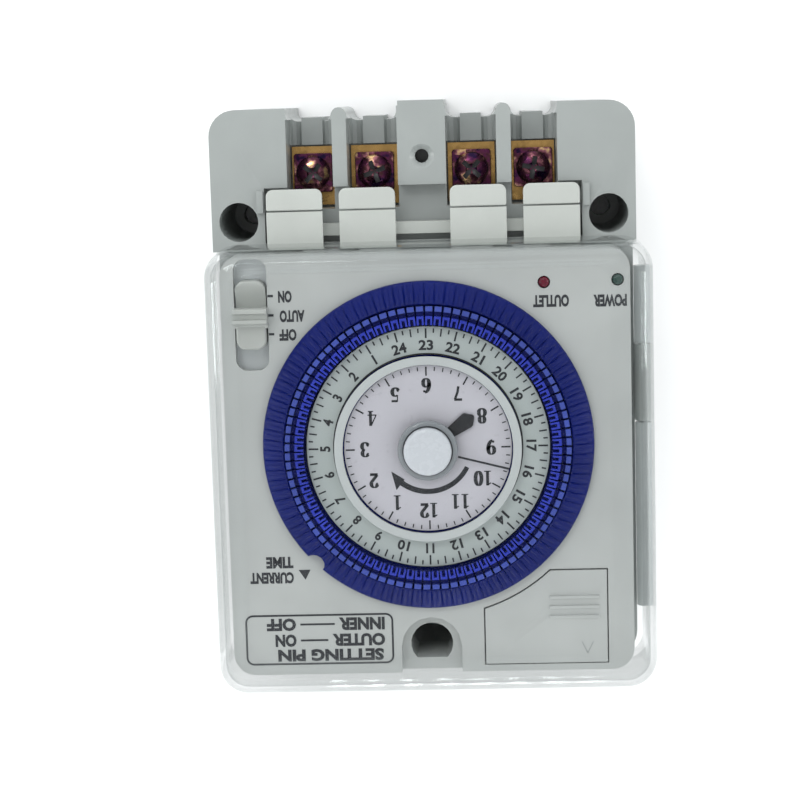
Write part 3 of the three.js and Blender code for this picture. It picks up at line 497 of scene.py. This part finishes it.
def add_serif_number(bm, text, centre, size, z):
    """A number in bold serif digits; size = (digit pitch, height)."""
    pitch, height = size
    left = centre[0] - pitch * len(text) / 2 + pitch * 0.02
    for place, digit in enumerate(text):
        for points, width in SERIF_DIGITS[digit]:
            spots = [Vector((left + place * pitch + x / 0.62 * pitch, centre[1] + (y - 0.5) * height))
                     for x, y in points]
            sides = []
            for index, spot in enumerate(spots):
                along = spots[min(index + 1, len(spots) - 1)] - spots[max(index - 1, 0)]
                along.normalize()
                share = width if width else 0.085 + 0.17 * abs(along.y) ** 1.5
                across = Vector((-along.y, along.x)) * share * height * 0.5
                sides.append((spot + across, spot - across))
            for (a, b), (c, d) in zip(sides, sides[1:]):
                add_plate(bm, [a, b, d, c], z)


def polar(radius, angle):
    return (radius * math.cos(angle), radius * math.sin(angle))


# ---- Program ring, pins and hour scale ---------------------------------------------------------

SKIRT_LINES = 192
STEPS_PER_LINE = 4


def pin_angle(number):
    return (number + 0.5) * PIN_PITCH


def ring_body():
    """The blue ring: knurled sloping skirt, pin groove, web and the notch in its rim."""
    rim = RING_RADIUS
    bottom = RING_LOW[2] + 11.4
    profile = [
        (5.6, bottom), (rim - 0.4, bottom), (rim - 0.1, bottom + 0.15), (rim, bottom + 0.5),
        (rim - 0.02, 45.4), (rim - 0.25, 45.9), (36.9, 46.5), (35.4, 47.35), (34.0, 48.1),
        (33.3, 48.5), (32.9, 48.6), (32.62, 48.4), (32.6, 46.1), (27.95, 46.1), (27.9, 45.2), (5.6, 45.2),
    ]
    first_knurled, last_knurled = 6, 9
    segments = SKIRT_LINES * STEPS_PER_LINE
    bm = bmesh.new()
    columns = []
    for step in range(segments):
        angle = 2 * math.pi * step / segments
        on_line = step % STEPS_PER_LINE == 0
        main_line = step % (2 * STEPS_PER_LINE) == 0
        column = []
        for row, (r, z) in enumerate(profile):
            if first_knurled <= row <= last_knurled and on_line:
                z -= 0.3 if main_line else 0.17
            column.append(bm.verts.new((r * MM * math.cos(angle), r * MM * math.sin(angle), z * MM)))
        columns.append(column)
    for step, column in enumerate(columns):
        beside = columns[(step + 1) % segments]
        for row in range(len(profile)):
            above = (row + 1) % len(profile)
            bm.faces.new((column[row], beside[row], beside[above], column[above]))
    mesh = mesh_from(bm, "ring_body")
    notch = revolved([(0, 40), (2.3, 40), (2.3, 60), (0, 60)], 32, ends_on_axis=True)
    x, y = polar(rim + 0.1, math.radians(45))
    shifted(notch, x, y)
    mesh = cut_with(mesh, [mesh_from(notch, "notch")])
    mesh.transform(Matrix.Translation((0, DIAL_Y * MM, 0)))
    link_piece("program_ring_body", mesh, "ring", "dial_blue", stands_for=("program_ring",), sharp=28)
    hub = revolved([(5.6, RING_LOW[2]), (7.4, RING_LOW[2]), (7.4, 44.1), (5.6, 44.1)], 48)
    shifted(hub, 0, DIAL_Y)
    link_piece("program_ring_hub", mesh_from(hub, "ring_hub"), "ring", "dial_blue")


def pin_shape():
    """One time pin along +X: a foot, an open-ended frame at its inner end and a block at its outer end; the
    foot and the floor in the frame and between frame and block take a darker blue, painted shade in the
    pin's hollows.
    """
    half = 0.79
    parts = (
        ((28.4, 30.4), (-half, half), (46.4, 48.85), 1),
        ((28.2, 32.4), (-half, half), (48.72, 48.95), 1),
        ((28.2, 30.2), (-half, -0.36), (48.8, PIN_TOP), 0),
        ((28.2, 30.2), (0.36, half), (48.8, PIN_TOP), 0),
        ((29.6, 30.2), (-0.4, 0.4), (48.8, PIN_TOP - 0.05), 0),
        ((31.3, 32.4), (-half, half), (48.8, 49.8), 2),
    )
    bm = bmesh.new()
    for x, y, z, shade in parts:
        bm.from_mesh(block(x, y, z))
        bm.faces.ensure_lookup_table()
        for face in bm.faces[-6:]:
            face.material_index = shade
    return mesh_from(bm, "time_pin")


def time_pins():
    shape = pin_shape()
    fixed = bmesh.new()
    for number in range(PIN_COUNT):
        turn = Matrix.Translation((0, DIAL_Y * MM, 0)) @ Matrix.Rotation(pin_angle(number), 4, "Z")
        pin = shape.copy()
        pin.transform(turn)
        if number % LOOSE_EVERY:
            fixed.from_mesh(pin)
            continue
        order = number // LOOSE_EVERY + 1
        link_piece(f"time_pin_{order}_finished", pin, f"pin_{order}", "pin_blue", "painted_shade_blue", "pin_end",
                   stands_for=(f"time_pin_{order}",))
    link_piece("fixed_time_pins", mesh_from(fixed, "fixed_time_pins"), "ring",
               "pin_blue", "painted_shade_blue", "pin_end")


def hour_scale():
    section = rounded_section([(21.4, 45.5), (27.7, 45.5), (27.7, SCALE_TOP), (21.4, SCALE_TOP)], 0.2)
    scale = revolved(section, 160)
    shifted(scale, 0, DIAL_Y)
    link_piece("hour_scale_finished", mesh_from(scale, "hour_scale"), "ring", "scale",
               stands_for=("hour_scale",))
    # A black ring on the inner wall of the hour scale, in the gap round the minute disc: painted shadow in
    # the gap.
    painted_shadow_ring = revolved([(21.25, 45.6), (21.6, 45.6), (21.6, 47.03), (21.25, 47.03)], 160)
    shifted(painted_shadow_ring, 0, DIAL_Y)
    link_piece("hour_scale_painted_shadow", mesh_from(painted_shadow_ring, "scale_painted_shadow"), "ring", "black")
    ink = bmesh.new()
    z = SCALE_TOP + INK_LIFT
    start = math.radians(89.71)
    for quarter in range(PIN_COUNT):
        angle = start + quarter * PIN_PITCH
        inner, width = ((24.97, 0.4) if quarter % 4 == 0 else
                        (25.45, 0.34) if quarter % 2 == 0 else (26.2, 0.34))
        add_bar(ink, polar(inner, angle), polar(27.2, angle), width, z)
        if quarter % 4 == 0:
            hour = (10 + quarter // 4) % 24 + 1
            width = 0 if hour < 10 or hour == 11 else 2.75 if hour < 20 or hour == 21 else 3.3
            add_text(ink, str(hour), polar(23.4, angle), (width, 2.35), z,
                     turn=angle - math.pi / 2, weight=0.035)
    shifted(ink, 0, DIAL_Y)
    link_piece("hour_scale_print", mesh_from(ink, "hour_scale_print"), "ring", "ink")


# ---- Clock dial, hands and knob ----------------------------------------------------------------

CLOCK_START = math.radians(90)


def clock_dial():
    section = rounded_section([(3.4, 47.4), (19, 47.4), (19, DIAL_TOP), (3.4, DIAL_TOP)], 0.15)
    dial = revolved(section, 128)
    shifted(dial, 0, DIAL_Y)
    link_piece("clock_dial_finished", mesh_from(dial, "clock_dial"), "root", "dial_face",
               stands_for=("clock_dial",))
    ink = bmesh.new()
    z = DIAL_TOP + INK_LIFT
    for minute in range(60):
        angle = CLOCK_START - minute * math.radians(6)
        inner = 16.6 if minute % 5 == 0 else 17.75
        add_bar(ink, polar(inner, angle), polar(18.65, angle), 0.36 if minute % 5 == 0 else 0.26, z)
    for hour in range(1, 13):
        angle = CLOCK_START - hour * math.radians(30)
        add_serif_number(ink, str(hour), polar(14.3, angle), (2.2, 3.45), z)
    arrow = []
    steps = 24
    tail, neck = math.radians(153), math.radians(52)
    for step in range(steps + 1):
        t = step / steps
        arrow.append(polar(9.3, tail + (neck - tail) * t))
    head = [polar(8.9, neck), polar(9.9, math.radians(31)), polar(12.0, neck)]
    arrow += head
    for step in range(steps + 1):
        t = 1 - step / steps
        arrow.append(polar(10.35 + 0.25 * t, tail + (neck - tail) * t))
    add_plate(ink, arrow, z)
    shifted(ink, 0, DIAL_Y)
    link_piece("clock_dial_print", mesh_from(ink, "clock_dial_print"), "root", "ink")


def hour_hand():
    angle = math.radians(-145)
    hand = [polar(5.6, math.radians(12 + 336 * step / 32)) for step in range(33)]
    hand += [(10.9, -1.8), (11.4, -1.7), (12.7, -0.4), (12.85, 0), (12.7, 0.4), (11.4, 1.7), (10.9, 1.8)]
    bm = bmesh.new()
    low = [bm.verts.new((x * MM, y * MM, 48.75 * MM)) for x, y in hand]
    high = [bm.verts.new((x * MM, y * MM, 49.25 * MM)) for x, y in hand]
    close_prism(bm, low, high)
    mesh = mesh_from(bm, "hour_hand")
    centre = mesh_from(revolved([(0, 40), (3.2, 40), (3.2, 60), (0, 60)], 32, True), "hand_bore")
    mesh = cut_with(mesh, [centre])
    mesh.transform(Matrix.Translation((0, DIAL_Y * MM, 0)) @ Matrix.Rotation(angle, 4, "Z"))
    link_piece("hour_hand_finished", mesh, "hour", "black", stands_for=("hour_hand",))


def minute_disc():
    low, high = DISC_LOW[2], DISC_HIGH[2]
    outer = (DISC_HIGH[0] - DISC_LOW[0]) / 2
    disc = revolved(rounded_section([(1.8, low), (19.2, low), (19.2, high), (1.8, high)], 0.1), 128)
    shifted(disc, 0, DIAL_Y)
    link_piece("minute_disc_finished", mesh_from(disc, "minute_disc"), "minute", "disc_clear",
               stands_for=("minute_disc",))
    rim = revolved(rounded_section(
        [(19.25, low), (outer, low), (outer, high - 0.1), (20.3, high), (19.25, high)], 0.15), 160)
    shifted(rim, 0, DIAL_Y)
    link_piece("minute_disc_rim", mesh_from(rim, "minute_rim"), "minute", "frosted")
    ink = bmesh.new()
    angle = math.radians(165.3)
    add_bar(ink, polar(7.0, angle), polar(18.9, angle), 0.48, high + INK_LIFT)
    shifted(ink, 0, DIAL_Y)
    link_piece("minute_line", mesh_from(ink, "minute_line"), "minute", "ink")


def knob():
    skirt_low, skirt_high = edges_of("knob_skirt")
    bottom, top = skirt_low[2], skirt_high[2]
    skirt = revolved(rounded_section(
        [(1.8, bottom), (6.8, bottom), (6.8, top - 0.3), (6.2, top), (1.8, top)], 0.3, 4), 96)
    shifted(skirt, 0, DIAL_Y)
    link_piece("knob_skirt_finished", mesh_from(skirt, "knob_skirt"), "minute", "knob_ring",
               stands_for=("knob_skirt",))
    # A thin ring of ink at the foot of the cap: painted shadow in the gap between cap and skirt.
    painted_gap_shadow = revolved([(5.42, top + 0.01), (5.7, top + 0.01), (5.7, top + 0.05), (5.42, top + 0.05)], 96)
    shifted(painted_gap_shadow, 0, DIAL_Y)
    link_piece("knob_painted_gap_shadow", mesh_from(painted_gap_shadow, "knob_painted_gap_shadow"), "minute", "ink")
    cap_low, cap_high = edges_of("knob_cap")
    bottom, top = cap_low[2], cap_high[2]
    profile = [(0, bottom), (5.2, bottom), (5.4, bottom + 0.15), (5.4, top - 0.7), (5.3, top - 0.4),
               (5.1, top - 0.18), (4.8, top - 0.04), (4.4, top), (4.0, top - 0.12), (0, top - 0.3)]
    cap = revolved(profile, 96, ends_on_axis=True)
    shifted(cap, 0, DIAL_Y)
    link_piece("knob_cap_finished", mesh_from(cap, "knob_cap"), "minute", "knob",
               stands_for=("knob_cap",), sharp=50)


# ---- Panel printing ----------------------------------------------------------------------------


def panel_print():
    ink = bmesh.new()
    z = PANEL_Z + INK_LIFT
    for label, x, y in (("ON", (30.1, 33.2), (-25.7, -22.95)), ("AUTO", (27.3, 33.0), (-21.25, -18.5)),
                        ("OFF", (29.3, 33.2), (-16.95, -14.25)), ("OUTLET", (-32.6, -24.5), (-23.3, -20.5)),
                        ("POWER", (-45.6, -38.1), (-23.1, -20.3)), ("CURRENT", (31.9, 42.0), (39.5, 42.2)),
                        ("TIME", (31.9, 38.2), (35.9, 38.6))):
        add_text(ink, label, ((x[0] + x[1]) / 2, (y[0] + y[1]) / 2), (x[1] - x[0], y[1] - y[0]), z,
                 weight=0.05)
    for y in (-24.55, -20.15, -15.85):
        add_bar(ink, (34.35, y), (35.6, y), 0.55, z)
    add_plate(ink, [(28.0, 39.05), (30.75, 39.05), (29.2, 41.4)], z)
    legend_frame(ink, (9.2, 43.6), (49.6, 61.6), z)
    for text, x, y in (("SETTING PIN", (11.6, 36.2), (57.9, 60.8)), ("OUTER", (11.2, 23.4), (54.3, 57.3)),
                       ("ON", (31.8, 36.7), (54.3, 57.3)), ("INNER", (11.2, 21.8), (50.5, 53.5)),
                       ("OFF", (31.8, 38.6), (50.5, 53.5))):
        add_text(ink, text, ((x[0] + x[1]) / 2, (y[0] + y[1]) / 2), (x[1] - x[0], y[1] - y[0]), z,
                 weight=0.05)
    add_bar(ink, (24.4, 55.8), (30.8, 55.8), 0.45, z)
    add_bar(ink, (22.8, 52.0), (30.8, 52.0), 0.45, z)
    link_piece("panel_print", mesh_from(ink, "panel_print"), "root", "ink")


def rounded_loop(x, y, radius, steps=8):
    """Points round a rounded rectangle, counterclockwise."""
    points = []
    corners = ((x[1] - radius, y[0] + radius, -90), (x[1] - radius, y[1] - radius, 0),
               (x[0] + radius, y[1] - radius, 90), (x[0] + radius, y[0] + radius, 180))
    for cx, cy, start in corners:
        for step in range(steps + 1):
            angle = math.radians(start + 90 * step / steps)
            points.append((cx + radius * math.cos(angle), cy + radius * math.sin(angle)))
    return points


def legend_frame(bm, x, y, z, line=0.45):
    outer = rounded_loop(x, y, 1.8)
    inner = rounded_loop((x[0] + line, x[1] - line), (y[0] + line, y[1] - line), 1.8 - line)
    loops = []
    for height in (z, z + INK_THICKNESS):
        loops.append([bm.verts.new((px * MM, py * MM, height * MM)) for px, py in outer])
        loops.append([bm.verts.new((px * MM, py * MM, height * MM)) for px, py in inner])
    low_outer, low_inner, high_outer, high_inner = loops
    join_loops(bm, [(low_outer, high_outer), (high_outer, high_inner), (high_inner, low_inner),
                    (low_inner, low_outer)])


# ---- Clear cover -------------------------------------------------------------------------------

COVER_WALL = 1.7
COVER_X = (-51.3, 49.3)
COVER_Y = (-36.3, 66.3)
COVER_FACE = 58.0
HINGE = (-50.2, 28.2)
HINGE_RADIUS = 1.9
LIP_Z = 41.5
COVER_KNUCKLES = ((-28.2, -10.2), (8.6, 52.6))
HOUSING_KNUCKLE = (-9.8, 8.2)


def cover_rings():
    """(inset at +X, at -X, at the terminals, at the top, height, corner radius) up the outside."""
    near, hinge, terminals, top = 8.8, 10.8, 5.5, 10.3
    rings = [(0.0,) * 4 + (27.0, 6.8), (0.15,) * 4 + (45.0, 6.8), (0.3,) * 4 + (50.0, 6.7)]
    fillet = 3.8
    for step in range(1, 9):
        angle = math.radians(90 * step / 9)
        inset = 0.3 + fillet * (1 - math.cos(angle))
        rings.append((inset,) * 4 + (50.0 + 6.3 * math.sin(angle), 6.7 - inset * 0.5))
    for share in (0.0, 0.35, 0.7, 0.93, 1.0, 1.04):
        lift = 56.35 + (COVER_FACE - 56.35) * (1 - (1 - min(share, 1.0)) ** 1.4)
        inset = 4.2
        rings.append(tuple(inset + (reach - inset) * share for reach in (near, hinge, terminals, top))
                     + (lift, 4.4))
    return rings


def cover_shell():
    outer, inner = [], []
    for near, hinge, terminals, top, z, radius in cover_rings():
        outer.append(((COVER_X[0] + hinge, COVER_X[1] - near), (COVER_Y[0] + terminals, COVER_Y[1] - top),
                      z, radius))
    wall = COVER_WALL
    for x, y, z, radius in outer:
        drop = 0.0 if z < 49 else wall * min(1.0, (z - 49) / 7)
        squeeze = wall * (1 - 0.55 * drop / wall)
        inner.append(((x[0] + squeeze, x[1] - squeeze), (y[0] + squeeze, y[1] - squeeze), z - drop,
                      max(1.5, radius - squeeze)))
    bm = bmesh.new()

    def loop(x, y, z, radius):
        return [bm.verts.new((px * MM, py * MM, z * MM)) for px, py in rounded_loop(x, y, radius, 10)]

    outer_loops = [loop(*ring) for ring in outer]
    inner_loops = [loop(*ring) for ring in inner]
    order = list(reversed(inner_loops)) + outer_loops
    join_loops(bm, zip(order, order[1:]))
    bm.faces.new(outer_loops[-1])
    bm.faces.new(inner_loops[-1])
    return mesh_from(bm, "cover_shell")


def along_y(bm, x, z, low):
    """Turns a bmesh built about Z so that it lies along Y from low, about (x, z)."""
    bm.transform(Matrix.Translation((x * MM, low * MM, z * MM)) @ Matrix.Rotation(-math.pi / 2, 4, "X"))


def clear_cover():
    shell = cover_shell()
    room = (HOUSING_KNUCKLE[0] - 0.4, HOUSING_KNUCKLE[1] + 0.4)
    shell = cut_with(shell, [
        block((-60, 60), (-50, -34.0), (0, LIP_Z)),
        block((-60, -47), room, (0, 31)),
        block((-4.7, 4.7), (60, 70), (20, 32)),
        block((-60, -48.3), (COVER_KNUCKLES[0][0] - 0.02, COVER_KNUCKLES[0][1] + 0.02), (20, 30.12)),
        block((-60, -48.3), (COVER_KNUCKLES[1][0] - 0.02, COVER_KNUCKLES[1][1] + 0.02), (20, 30.12)),
    ])
    bm = bmesh.new()
    bm.from_mesh(shell)
    shell = mesh_from(bm, "clear_cover")
    for polygon in shell.polygons:
        if polygon.center.z > 49.5 * MM and 0.15 < polygon.normal.z < 0.985:
            polygon.material_index = 1
    link_piece("clear_cover_finished", shell, "cover", "clear", "clear_edge",
               stands_for=("clear_cover",), sharp=40)
    for number, (low, high) in enumerate(COVER_KNUCKLES, 1):
        length = high - low
        section = rounded_section(
            [(1.05, 0), (HINGE_RADIUS, 0), (HINGE_RADIUS, length), (1.05, length)], 0.15)
        knuckle = revolved(section, 40)
        along_y(knuckle, HINGE[0], HINGE[1], low)
        link_piece(f"cover_knuckle_{number}", mesh_from(knuckle, "knuckle"), "cover", "frosted")


# ---- Terminals ---------------------------------------------------------------------------------


def clamp_washers():
    for number in range(1, 5):
        low, high = edges_of(f"clamp_washer_{number}")
        loop = rounded_loop((low[0], high[0]), (low[1], high[1]), 0.7, 3)
        bm = bmesh.new()
        centre = ((low[0] + high[0]) / 2, (low[1] + high[1]) / 2)
        hole = [(centre[0] + 2.3 * math.cos(a), centre[1] + 2.3 * math.sin(a)) for a in
                (math.radians(-90 + 360 * (i + 0.5) / len(loop)) for i in range(len(loop)))]
        loops = []
        for points, z in ((loop, low[2]), (loop, high[2] - 0.15), (loop, high[2]), (hole, high[2]),
                          (hole, low[2])):
            inset = 0.15 if points is loop and z == high[2] else 0.0
            loops.append([bm.verts.new((
                (centre[0] + (px - centre[0]) * (1 - inset / 4.5)) * MM,
                (centre[1] + (py - centre[1]) * (1 - inset / 4.5)) * MM, z * MM)) for px, py in points])
        join_loops(bm, zip(loops, loops[1:] + loops[:1]))
        for side in (-1, 1):
            lug = block((centre[0] + side * 2.5 - 1.3, centre[0] + side * 2.5 + 1.3),
                        (low[1], low[1] + 1.2), (high[2], high[2] + 0.9))
            bm.from_mesh(lug)
        link_piece(f"clamp_washer_{number}_finished", mesh_from(bm, "clamp_washer"), f"clamp_{number}",
                   "zinc", stands_for=(f"clamp_washer_{number}",))


def terminal_screws():
    for number in range(1, 5):
        low, high = edges_of(f"terminal_screw_{number}")
        x, y = (low[0] + high[0]) / 2, (low[1] + high[1]) / 2
        bottom, top = low[2], high[2]
        head = top - 2.6
        profile = [(0, bottom), (1.9, bottom + 1), (1.9, head), (3.75, head), (3.9, head + 0.15),
                   (3.9, head + 1.1), (3.75, head + 1.5), (3.3, head + 2.0), (2.4, head + 2.4),
                   (1.2, head + 2.58), (0, top)]
        screw = revolved(profile, 48, ends_on_axis=True)
        mesh = mesh_from(screw, "terminal_screw")
        arms = [block((-2.6, 2.6), (-0.55, 0.55), (head + 1.3, top + 1)),
                block((-0.55, 0.55), (-2.6, 2.6), (head + 1.31, top + 1)),
                mesh_from(revolved([(0, head + 0.8), (1.1, head + 1.4), (1.5, top + 1), (0, top + 1)], 12,
                                   True), "recess")]
        mesh = cut_with(mesh, arms)
        # The faces of the cross recess take the black finish: painted shade in the recess.
        for polygon in mesh.polygons:
            spot = polygon.center / MM
            across, along = sorted((abs(spot.x), abs(spot.y)))
            if across < 0.56 and along < 2.61 and spot.z < top - 0.35:
                polygon.material_index = 1
        turn = Matrix.Rotation(math.radians(17 + 31 * number), 4, "Z")
        mesh.transform(Matrix.Translation((x * MM, y * MM, 0)) @ turn)
        link_piece(f"terminal_screw_{number}_finished", mesh, f"clamp_{number}", "zinc", "black",
                   stands_for=(f"terminal_screw_{number}",), sharp=30)


# ---- Switch, lamps and the rest of the case ----------------------------------------------------


def override_slider():
    low, high = edges_of("override_slider")
    x, y = (low[0] + high[0]) / 2, (low[1] + high[1]) / 2
    width, length = 3.45, 7.9
    bm = bmesh.new()
    loops = []
    for inset, z in ((0, 40.6), (0, 44.4), (0.12, 44.9), (0.4, 45.15)):
        across, along = width - inset, length - inset
        points = rounded_loop((x - across, x + across), (y - along, y + along), 2.2 - inset, 8)
        loops.append([bm.verts.new((px * MM, py * MM, z * MM)) for px, py in points])
    join_loops(bm, zip(loops, loops[1:]))
    bm.faces.new(loops[-1])
    bm.faces.new(list(reversed(loops[0])))
    body = mesh_from(bm, "slider_body")
    # The half towards ON is dished down to the foot of the crossbar.
    dish = bmesh.new()
    curve = [(y - 7.4 + 5.9 * t, 45.2 - 2.3 * math.sin(t * math.pi / 2) ** 1.5) for t in
             (step / 8 for step in range(9))] + [(y - 1.5, 46.0), (y - 7.4, 46.0)]
    near = [dish.verts.new(((x - 4) * MM, a * MM, z * MM)) for a, z in curve]
    far = [dish.verts.new(((x + 4) * MM, a * MM, z * MM)) for a, z in curve]
    close_prism(dish, near, far)
    body = cut_with(body, [mesh_from(dish, "slider_dish")])
    bar = bmesh.new()
    half = 1.72
    section = [(-half, 44.0), (-half, 48.3), (-half + 0.25, 48.6), (-0.75, 48.6), (-0.55, 47.7),
               (0.55, 47.7), (0.75, 48.6), (half - 0.25, 48.6), (half, 48.2),
               (half, 46.2), (half + 0.5, 45.3), (half + 1.2, 45.0), (half + 1.2, 44.0)]
    reach = 3.9
    left = [bar.verts.new(((x - reach) * MM, (y + a) * MM, z * MM)) for a, z in section]
    right = [bar.verts.new(((x + reach) * MM, (y + a) * MM, z * MM)) for a, z in section]
    close_prism(bar, left, right)
    bar.from_mesh(body)
    stem = block((x - 1.6, x + 1.6), (y - 1.6, y + 1.6), (36, 40.7))
    bar.from_mesh(stem)
    ledge = block((x - 3.9, x + 3.9), (y - 13.4, y - 9.9), (40.25, 40.4), "slot_ledge")
    link_piece("slot_ledge", ledge, "root", "slot_floor")
    link_piece("override_slider_finished", mesh_from(bar, "override_slider"), "slider", "slider",
               stands_for=("override_slider",), sharp=30)


def indicators():
    for node, finish in (("output_led", "lens_red"), ("power_led", "lens_green")):
        low, high = edges_of(node)
        x, y = (low[0] + high[0]) / 2, (low[1] + high[1]) / 2
        radius, top = (high[0] - low[0]) / 2, high[2]
        profile = [(0, low[2]), (radius, low[2]), (radius, PANEL_Z - 0.1), (radius * 0.96, PANEL_Z + 0.12),
                   (radius * 0.8, PANEL_Z + 0.33), (radius * 0.5, top - 0.06), (0, top)]
        lamp = revolved(profile, 40, ends_on_axis=True)
        shifted(lamp, x, y)
        link_piece(f"{node}_finished", mesh_from(lamp, node), "root", finish, stands_for=(node,))


def door_mark():
    """The small moulded arrow on the battery door."""
    bm = bmesh.new()
    z = PANEL_Z + 0.2
    for start, end in (((-36.9, 57.2), (-35.6, 59.9)), ((-35.6, 59.9), (-34.3, 57.2))):
        add_bar(bm, start, end, 0.3, z)
    link_piece("battery_door_mark", mesh_from(bm, "battery_door_mark"), "door", "housing")


PLAIN_NODES = {
    "terminal_plate_1": "brass", "terminal_plate_2": "brass", "terminal_plate_3": "brass",
    "terminal_plate_4": "brass", "cover_hinge_pin": "steel", "backup_battery": "cell",
    "dial_bearing": "nylon", "program_gear": "nylon", "hour_wheel": "nylon", "minute_arbor": "brass",
    "transfer_arbor": "nylon", "drive_motor": "steel", "motor_pinion": "brass",
    "mechanism_plate": "steel", "microswitch_body": "black", "microswitch_plunger": "nylon",
    "follower_lever": "nylon", "follower_pivot": "steel", "follower_spring": "steel",
    "override_switch_body": "slot_floor", "circuit_board": "board", "relay": "black",
    "case_screw_1": "steel", "case_screw_2": "steel", "case_screw_3": "steel",
}


def dress_plain_nodes():
    for node, finish in PLAIN_NODES.items():
        piece = frame["nodes"][node]
        piece.data.materials.clear()
        piece.data.materials.append(MATERIALS[finish])


# ---- Stage and light ---------------------------------------------------------------------------


def stage():
    floor = block((-3000, 3000), (-3000, 3000), (-20, 0), "floor")
    piece = bpy.data.objects.new("floor", floor)
    bpy.context.scene.collection.objects.link(piece)
    nodes = Nodes("pale_floor")
    nodes.link(nodes.ramp(nodes.noise(6, 2), [(0.3, tone(246, 246, 246)), (0.7, tone(250, 250, 250))]),
               nodes.shader.inputs["Base Color"])
    nodes.set(Roughness=0.8)
    floor.materials.append(nodes.material)


def area_light(name, place, target, size, power):
    data = bpy.data.lights.new(name, "AREA")
    data.shape = "RECTANGLE"
    data.size, data.size_y = size
    data.energy = power
    light = bpy.data.objects.new(name, data)
    bpy.context.scene.collection.objects.link(light)
    light.location = place
    light.rotation_euler = (Vector(target) - Vector(place)).to_track_quat("-Z", "Y").to_euler()


STUDIO_STRENGTH = 1.78
# Brightness of the studio from straight below to straight above.
STUDIO_LEVELS = [(0.0, 0.72), (0.25, 0.95), (0.68, 0.95), (0.86, 0.52), (1.0, 0.48)]
WINDOW_AWAY = 0.85
WINDOW_HEIGHT = 0.28


def lights():
    # A pale studio that is bright all round and darker overhead, where the camera is.
    world = bpy.data.worlds.new("studio")
    world.use_nodes = True
    tree = world.node_tree
    background = tree.nodes["Background"]
    direction = tree.nodes.new("ShaderNodeTexCoord")
    height = tree.nodes.new("ShaderNodeSeparateXYZ")
    ramp = tree.nodes.new("ShaderNodeValToRGB")
    elements = ramp.color_ramp.elements
    while len(elements) < len(STUDIO_LEVELS):
        elements.new(0.5)
    for element, (position, level) in zip(elements, STUDIO_LEVELS):
        element.position = position
        element.color = (level * 0.975, level * 0.99, level, 1.0)
    tree.links.new(direction.outputs["Generated"], height.inputs["Vector"])
    tree.links.new(height.outputs["Z"], ramp.inputs["Fac"])
    tree.links.new(ramp.outputs["Color"], background.inputs["Color"])
    background.inputs["Strength"].default_value = STUDIO_STRENGTH
    bpy.context.scene.world = world
    area_light("key", (0.3, -0.55, 0.9), (0, 0, 0.04), (0.5, 0.12), 2)
    # Upright strips like a row of windows, which glint one after another along the cover's edges.
    for number in range(8):
        along = (number - 3.5) * 0.026
        area_light(f"window_top_{number}", (along, WINDOW_AWAY, WINDOW_HEIGHT), (along, 0, 0.04),
                   (0.007, 0.3), 0.14)
    for number in range(9):
        along = (number - 3) * 0.016
        for side in (-1, 1):
            area_light(f"window_side_{number}_{side}", (side * WINDOW_AWAY, along, WINDOW_HEIGHT),
                       (0, along, 0.04), (0.005, 0.3), 0.1)


make_camera()
stage()
lights()
ring_body()
time_pins()
hour_scale()
clock_dial()
hour_hand()
minute_disc()
knob()
panel_print()
clear_cover()
clamp_washers()
terminal_screws()
override_slider()
indicators()
door_mark()
softened("rear_housing", "housing", 0.5, 3)
softened("front_case", "panel", 0.3)
softened("battery_door", "panel", 0.25)
softened("terminal_guard", "flap", 0.3)
for flap in range(1, 5):
    softened(f"terminal_flap_{flap}", "flap", 0.3)
dress_plain_nodes()
